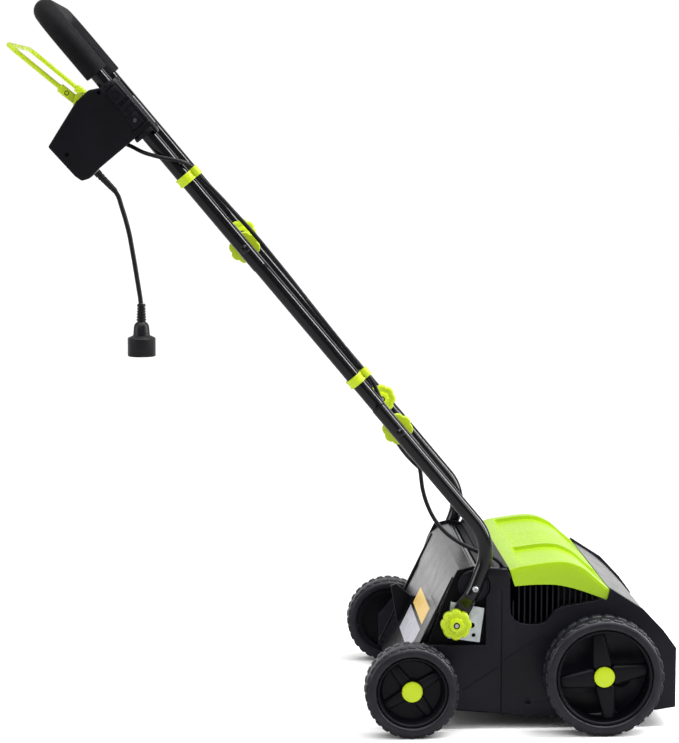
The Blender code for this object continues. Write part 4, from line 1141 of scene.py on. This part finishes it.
def makeSwitchBox():
    s = boxShape
    near = plate(s["outline"], s["near"], s["parting"] - 0.0003)
    bevelled(near, 0.0030, 4, 20)
    sunk = [spindle(world(-0.500, 0, 0.862), s["near"] - 0.001, s["near"] + 0.006, 0.0032, 24),
            spindle(world(-0.453, 0, 0.951), s["near"] - 0.001, s["near"] + 0.006, 0.0030, 24),
            spindle(onHandle(0.6445, 0.0010, 0), s["near"] - 0.010, s["near"] + 0.001, 0.0042, 24)]
    low, high = s["collarEnds"]
    collar = alongTube(low, high, [(0.0112, 0.0), (0.0200, 0.0), (0.0205, 0.02), (0.0205, 0.05),
                                   (0.0200, 0.07), (s["collar"], 0.08), (s["collar"], 0.92), (0.0200, 0.93),
                                   (0.0205, 0.95), (0.0205, 0.98), (0.0200, 1.0), (0.0112, 1.0)])
    near = merged(near, padOn(0.6445, 0.0010, 0.024, 0.0185, -0.2432, -0.2250, 0.0016))
    carved(near, *sunk)
    near.data.materials.append(finish["mouldedPolypropylene"])
    rib = padOn(0.6240, 0.0030, 0.0060, 0.0220, -0.2428, -0.2230, 0.0012)
    foot = padOn(0.5990, -0.0010, 0.0200, 0.0190, -0.2428, -0.2230, 0.0014)
    edge = padOn(0.5860, -0.0005, 0.0030, 0.0300, -0.2418, -0.2230, 0.0010)
    screw = lathe([(0.0, -0.2430), (0.0012, -0.2430), (0.0014, -0.2438), (0.0024, -0.2436),
                   (0.0030, -0.2427), (0.0030, -0.2400), (0.0, -0.2400)], onHandle(0.5990, -0.0010, 0),
                   (0, 1, 0), 28)
    screw.data.materials.append(finish["springWire"])
    merged(near, collar, rib, foot, edge, screw)
    finished(near, "switchBoxNear", finish["mouldedPolypropylene"], "handle_upper", ["switch_box_outer"])
    far = bevelled(plate(s["outline"], s["parting"] + 0.0003, s["far"]), 0.0022, 3, 20)
    far = carved(far, spindle(buttonCentre, s["far"] - 0.006, s["far"] + 0.002, 0.0078, 32),
                 spindle(bailAxle, -0.2125, -0.1975, 0.0175, 40))
    finished(far, "switchBoxFar", finish["mouldedPolypropylene"], "handle_upper", ["switch_box_inner"])
    button = lathe([(0.0, -0.1716), (0.0050, -0.1718), (0.0068, -0.1724), (0.0075, -0.1736),
                    (0.0075, -0.1798), (0.0, -0.1798)], buttonCentre, (0, 1, 0), 40)
    finished(button, "lockButtonCap", finish["limePolypropylene"], "lock_button", ["lock_button"])


bailShape = {"lean": 141.4, "half": 0.205, "root": 0.010, "length": 0.134, "bend": 0.022, "rod": 0.0036}


def makeBail():
    s = bailShape
    axle, reach = bailAxle, s["half"]
    lean = math.radians(s["lean"])
    out = Vector((math.cos(lean), 0, math.sin(lean)))
    up = Vector((-out.z, 0, out.x))
    start, tip = axle + out * s["root"] + up * 0.004, axle + out * s["length"] + up * 0.002
    line = [start + Vector((0, -reach, 0)), tip + Vector((0, -reach, 0)), tip + Vector((0, reach, 0)),
            start + Vector((0, reach, 0))]
    bail = meshed(tube(roundedLine(line, s["bend"], 12), s["rod"], 6))
    extras = []
    for side in (-1, 1):
        centre = axle + out * 0.0235 + up * 0.004 + Vector((0, side * reach, 0))
        extras.append(bevelled(turnedBlock(centre, (0.030, 0.0120, 0.0130), lean), 0.0030, 4))
        root = Vector((axle.x, side * reach, axle.z))
        extras.append(lathe([(0.0, -0.006), (0.0115, -0.006), (0.0132, -0.0048), (0.0135, -0.003),
                             (0.0135, 0.003), (0.0132, 0.0048), (0.0115, 0.006), (0.0, 0.006)], root,
                             (0, 1, 0), 48))
        extras.append(spindle(axle, side * reach - 0.0125, side * reach + 0.0125, 0.003, 20))
        head = centre + out * 0.001
        screw = lathe([(0.0, side * 0.0052), (0.0022, side * 0.0052), (0.0026, side * 0.0064),
                       (0.0034, side * 0.0062), (0.0038, side * 0.0056), (0.0, side * 0.0040)], head,
                       (0, 1, 0), 24)
        screw.data.materials.append(finish["innerMoulding"])
        extras.append(screw)
    bail.data.materials.append(finish["limePolypropylene"])
    merged(bail, *extras)
    finished(bail, "bailLever", None, "bail", ["bail_lever"], 40)
    mount = bevelled(fromFrame("bail_bracket"), 0.0012, 3, 50)
    finished(mount, "bailMount", finish["mouldedPolypropylene"], "handle_upper", ["bail_bracket"])


def makeClips():
    for word, distance, y, body in (("High", 0.4870, tubeShape["outerY"], "handle_upper"),
                                    ("Low", 0.0990, tubeShape["innerY"], "handle_middle")):
        band = [(0.0114, 0.0), (0.0138, 0.0), (0.0143, 0.06), (0.0143, 0.20), (0.0134, 0.26), (0.0134, 0.74),
                (0.0143, 0.80), (0.0143, 0.94), (0.0138, 1.0), (0.0114, 1.0)]
        ring = alongTube(distance - 0.0068, distance + 0.0068, band, 0.0, y)
        eye = [(0.0034, 0.0), (0.0060, 0.0), (0.0064, 0.08), (0.0064, 0.92), (0.0060, 1.0), (0.0034, 1.0)]
        merged(ring, alongTube(distance - 0.0072, distance + 0.0072, eye, 0.018, y, 40))
        finished(ring, f"cableClip{word}", finish["limePolypropylene"], body, [f"cable_clip_{word.lower()}"],
                 40)


makeSwitchBox()
makeBail()
makeClips()
print("controls made")


# Motor lead, clipped to the handle and looping down to the gland

leadShape = {
    "radius": 0.0031, "spacing": 0.008,
    "upper": [(0.5900, -0.0385, -0.2080), (0.5735, -0.0300, -0.2120), (0.5560, -0.0220, -0.2240),
              (0.5360, -0.0080, -0.2350), (0.5200, 0.0050, -0.2362), (0.5060, 0.0150, -0.2290),
              (0.4950, 0.0180, -0.2207), (0.4790, 0.0180, -0.2205), (0.4400, 0.0210, -0.2175),
              (0.4050, 0.0225, -0.2150), (0.3605, 0.0240, -0.2090), (0.3050, 0.0232, -0.2035),
              (0.2750, 0.0225, -0.2020), (0.2400, 0.0212, -0.2000)],
    "middle": [(0.2400, 0.0212, -0.2000), (0.2000, 0.0200, -0.1980), (0.1120, 0.0180, -0.1980),
               (0.0860, 0.0180, -0.1980), (0.0600, 0.0115, -0.1820), (0.0300, 0.0020, -0.1700),
               (0.0120, -0.0060, -0.1605), (-0.0120, -0.0130, -0.1605), (-0.0360, -0.0150, -0.1750),
               (-0.0550, -0.0135, -0.1900)],
    "loop": [(0.0190, -0.2000, 0.3650), (0.0260, -0.2000, 0.3410), (0.0380, -0.2000, 0.3170),
             (0.0550, -0.2000, 0.2970), (0.0780, -0.1990, 0.2805), (0.1010, -0.1975, 0.2690),
             (0.1240, -0.1935, 0.2600), (0.1380, -0.1920, 0.2485), (0.1400, -0.1920, 0.2430)],
}


def makeLead():
    s = leadShape
    upper = [onHandle(*spot) for spot in s["upper"]]
    middle = [onHandle(*spot) for spot in s["middle"]]
    loop = [middle[-1], onHandle(-0.0640, -0.0120, -0.1965)] + [world(*spot) for spot in s["loop"]]
    stretches = (
        ("leadUpper", upper, "handle_upper", "handle_middle", upper[8], upper[11], "motor_lead_upper"),
        ("leadMiddle", middle, "handle_middle", "handle_lower", middle[3], middle[7], "motor_lead_middle"),
        ("leadLoop", loop, "handle_lower", "chassis", loop[2], loop[-2], "motor_lead_lower"),
    )
    for name, spots, first, second, start, end, node in stretches:
        line = smoothLine(spots, s["spacing"])
        lead = meshed(tube(line, s["radius"], 5))
        lead.name = name
        lead.data.materials.append(finish["extrudedPvc"])
        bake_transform(lead)
        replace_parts(lead, node)


makeLead()
print("lead made")


# Spring tines along the reel

tineShape = {"wire": 0.0014, "coil": 0.0058, "turns": 2.5, "coilPitch": 0.0030, "steps": 26, "count": 15,
             "first": -0.166, "pitch": 0.0228, "root": 0.026, "tip": 0.069, "bar": (-0.179, 0.1665, 0.0035)}


def makeTines():
    s = tineShape
    reel = middleOf("reel_shaft")
    for word, degrees in (("a", 40), ("b", 220)):
        tip = Vector((math.cos(math.radians(degrees)), 0, math.sin(math.radians(degrees))))
        trail = Vector((tip.z, 0, -tip.x))
        root = reel + tip * s["root"]
        line = []
        for index in range(s["steps"] + 1):
            share = index / s["steps"]
            angle = -math.pi / 2 + 2 * math.pi * s["turns"] * share
            line.append(root + trail * (s["coil"] * math.cos(angle)) + tip * (s["coil"] * math.sin(angle))
                        + Vector((0, s["coilPitch"] * share * s["turns"], 0)))
        last = line[-1]
        end = reel + tip * s["tip"] + trail * 0.012
        line += [last + tip * 0.012 + trail * 0.001, end + Vector((0, last.y - reel.y, 0))]
        tine = meshed(tube([spot + Vector((0, s["first"], 0)) for spot in line], s["wire"], 1))
        copies = []
        for index in range(1, s["count"]):
            copy = copied(tine)
            copy.location.y = s["pitch"] * index
            copies.append(copy)
        bar = spindle(root, *s["bar"], 16)
        merged(tine, bar, *copies)
        finished(tine, f"tineRow{word.upper()}", finish["springWire"], "tine_reel", [f"tine_bar_{word}"],
                 50)


makeTines()
print("tines made")


# Plain finishes for the solids that stay visible

stay = {"glossEnamel": ["flap_rod"],
        "innerMoulding": ["deck", "motor_can", "drive_belt", "reel_bearing_left", "reel_bearing_right"],
        "platedSteel": ["rear_axle", "front_axle_left", "front_axle_right", "motor_shaft"],
        "springWire": ["reel_shaft"],
        "extrudedPvc": ["lead_gland"]}
for name, nodes in stay.items():
    for node in nodes:
        mesh = frame["nodes"][node].data
        mesh.materials.clear()
        mesh.materials.append(finish[name])
print("solids finished")
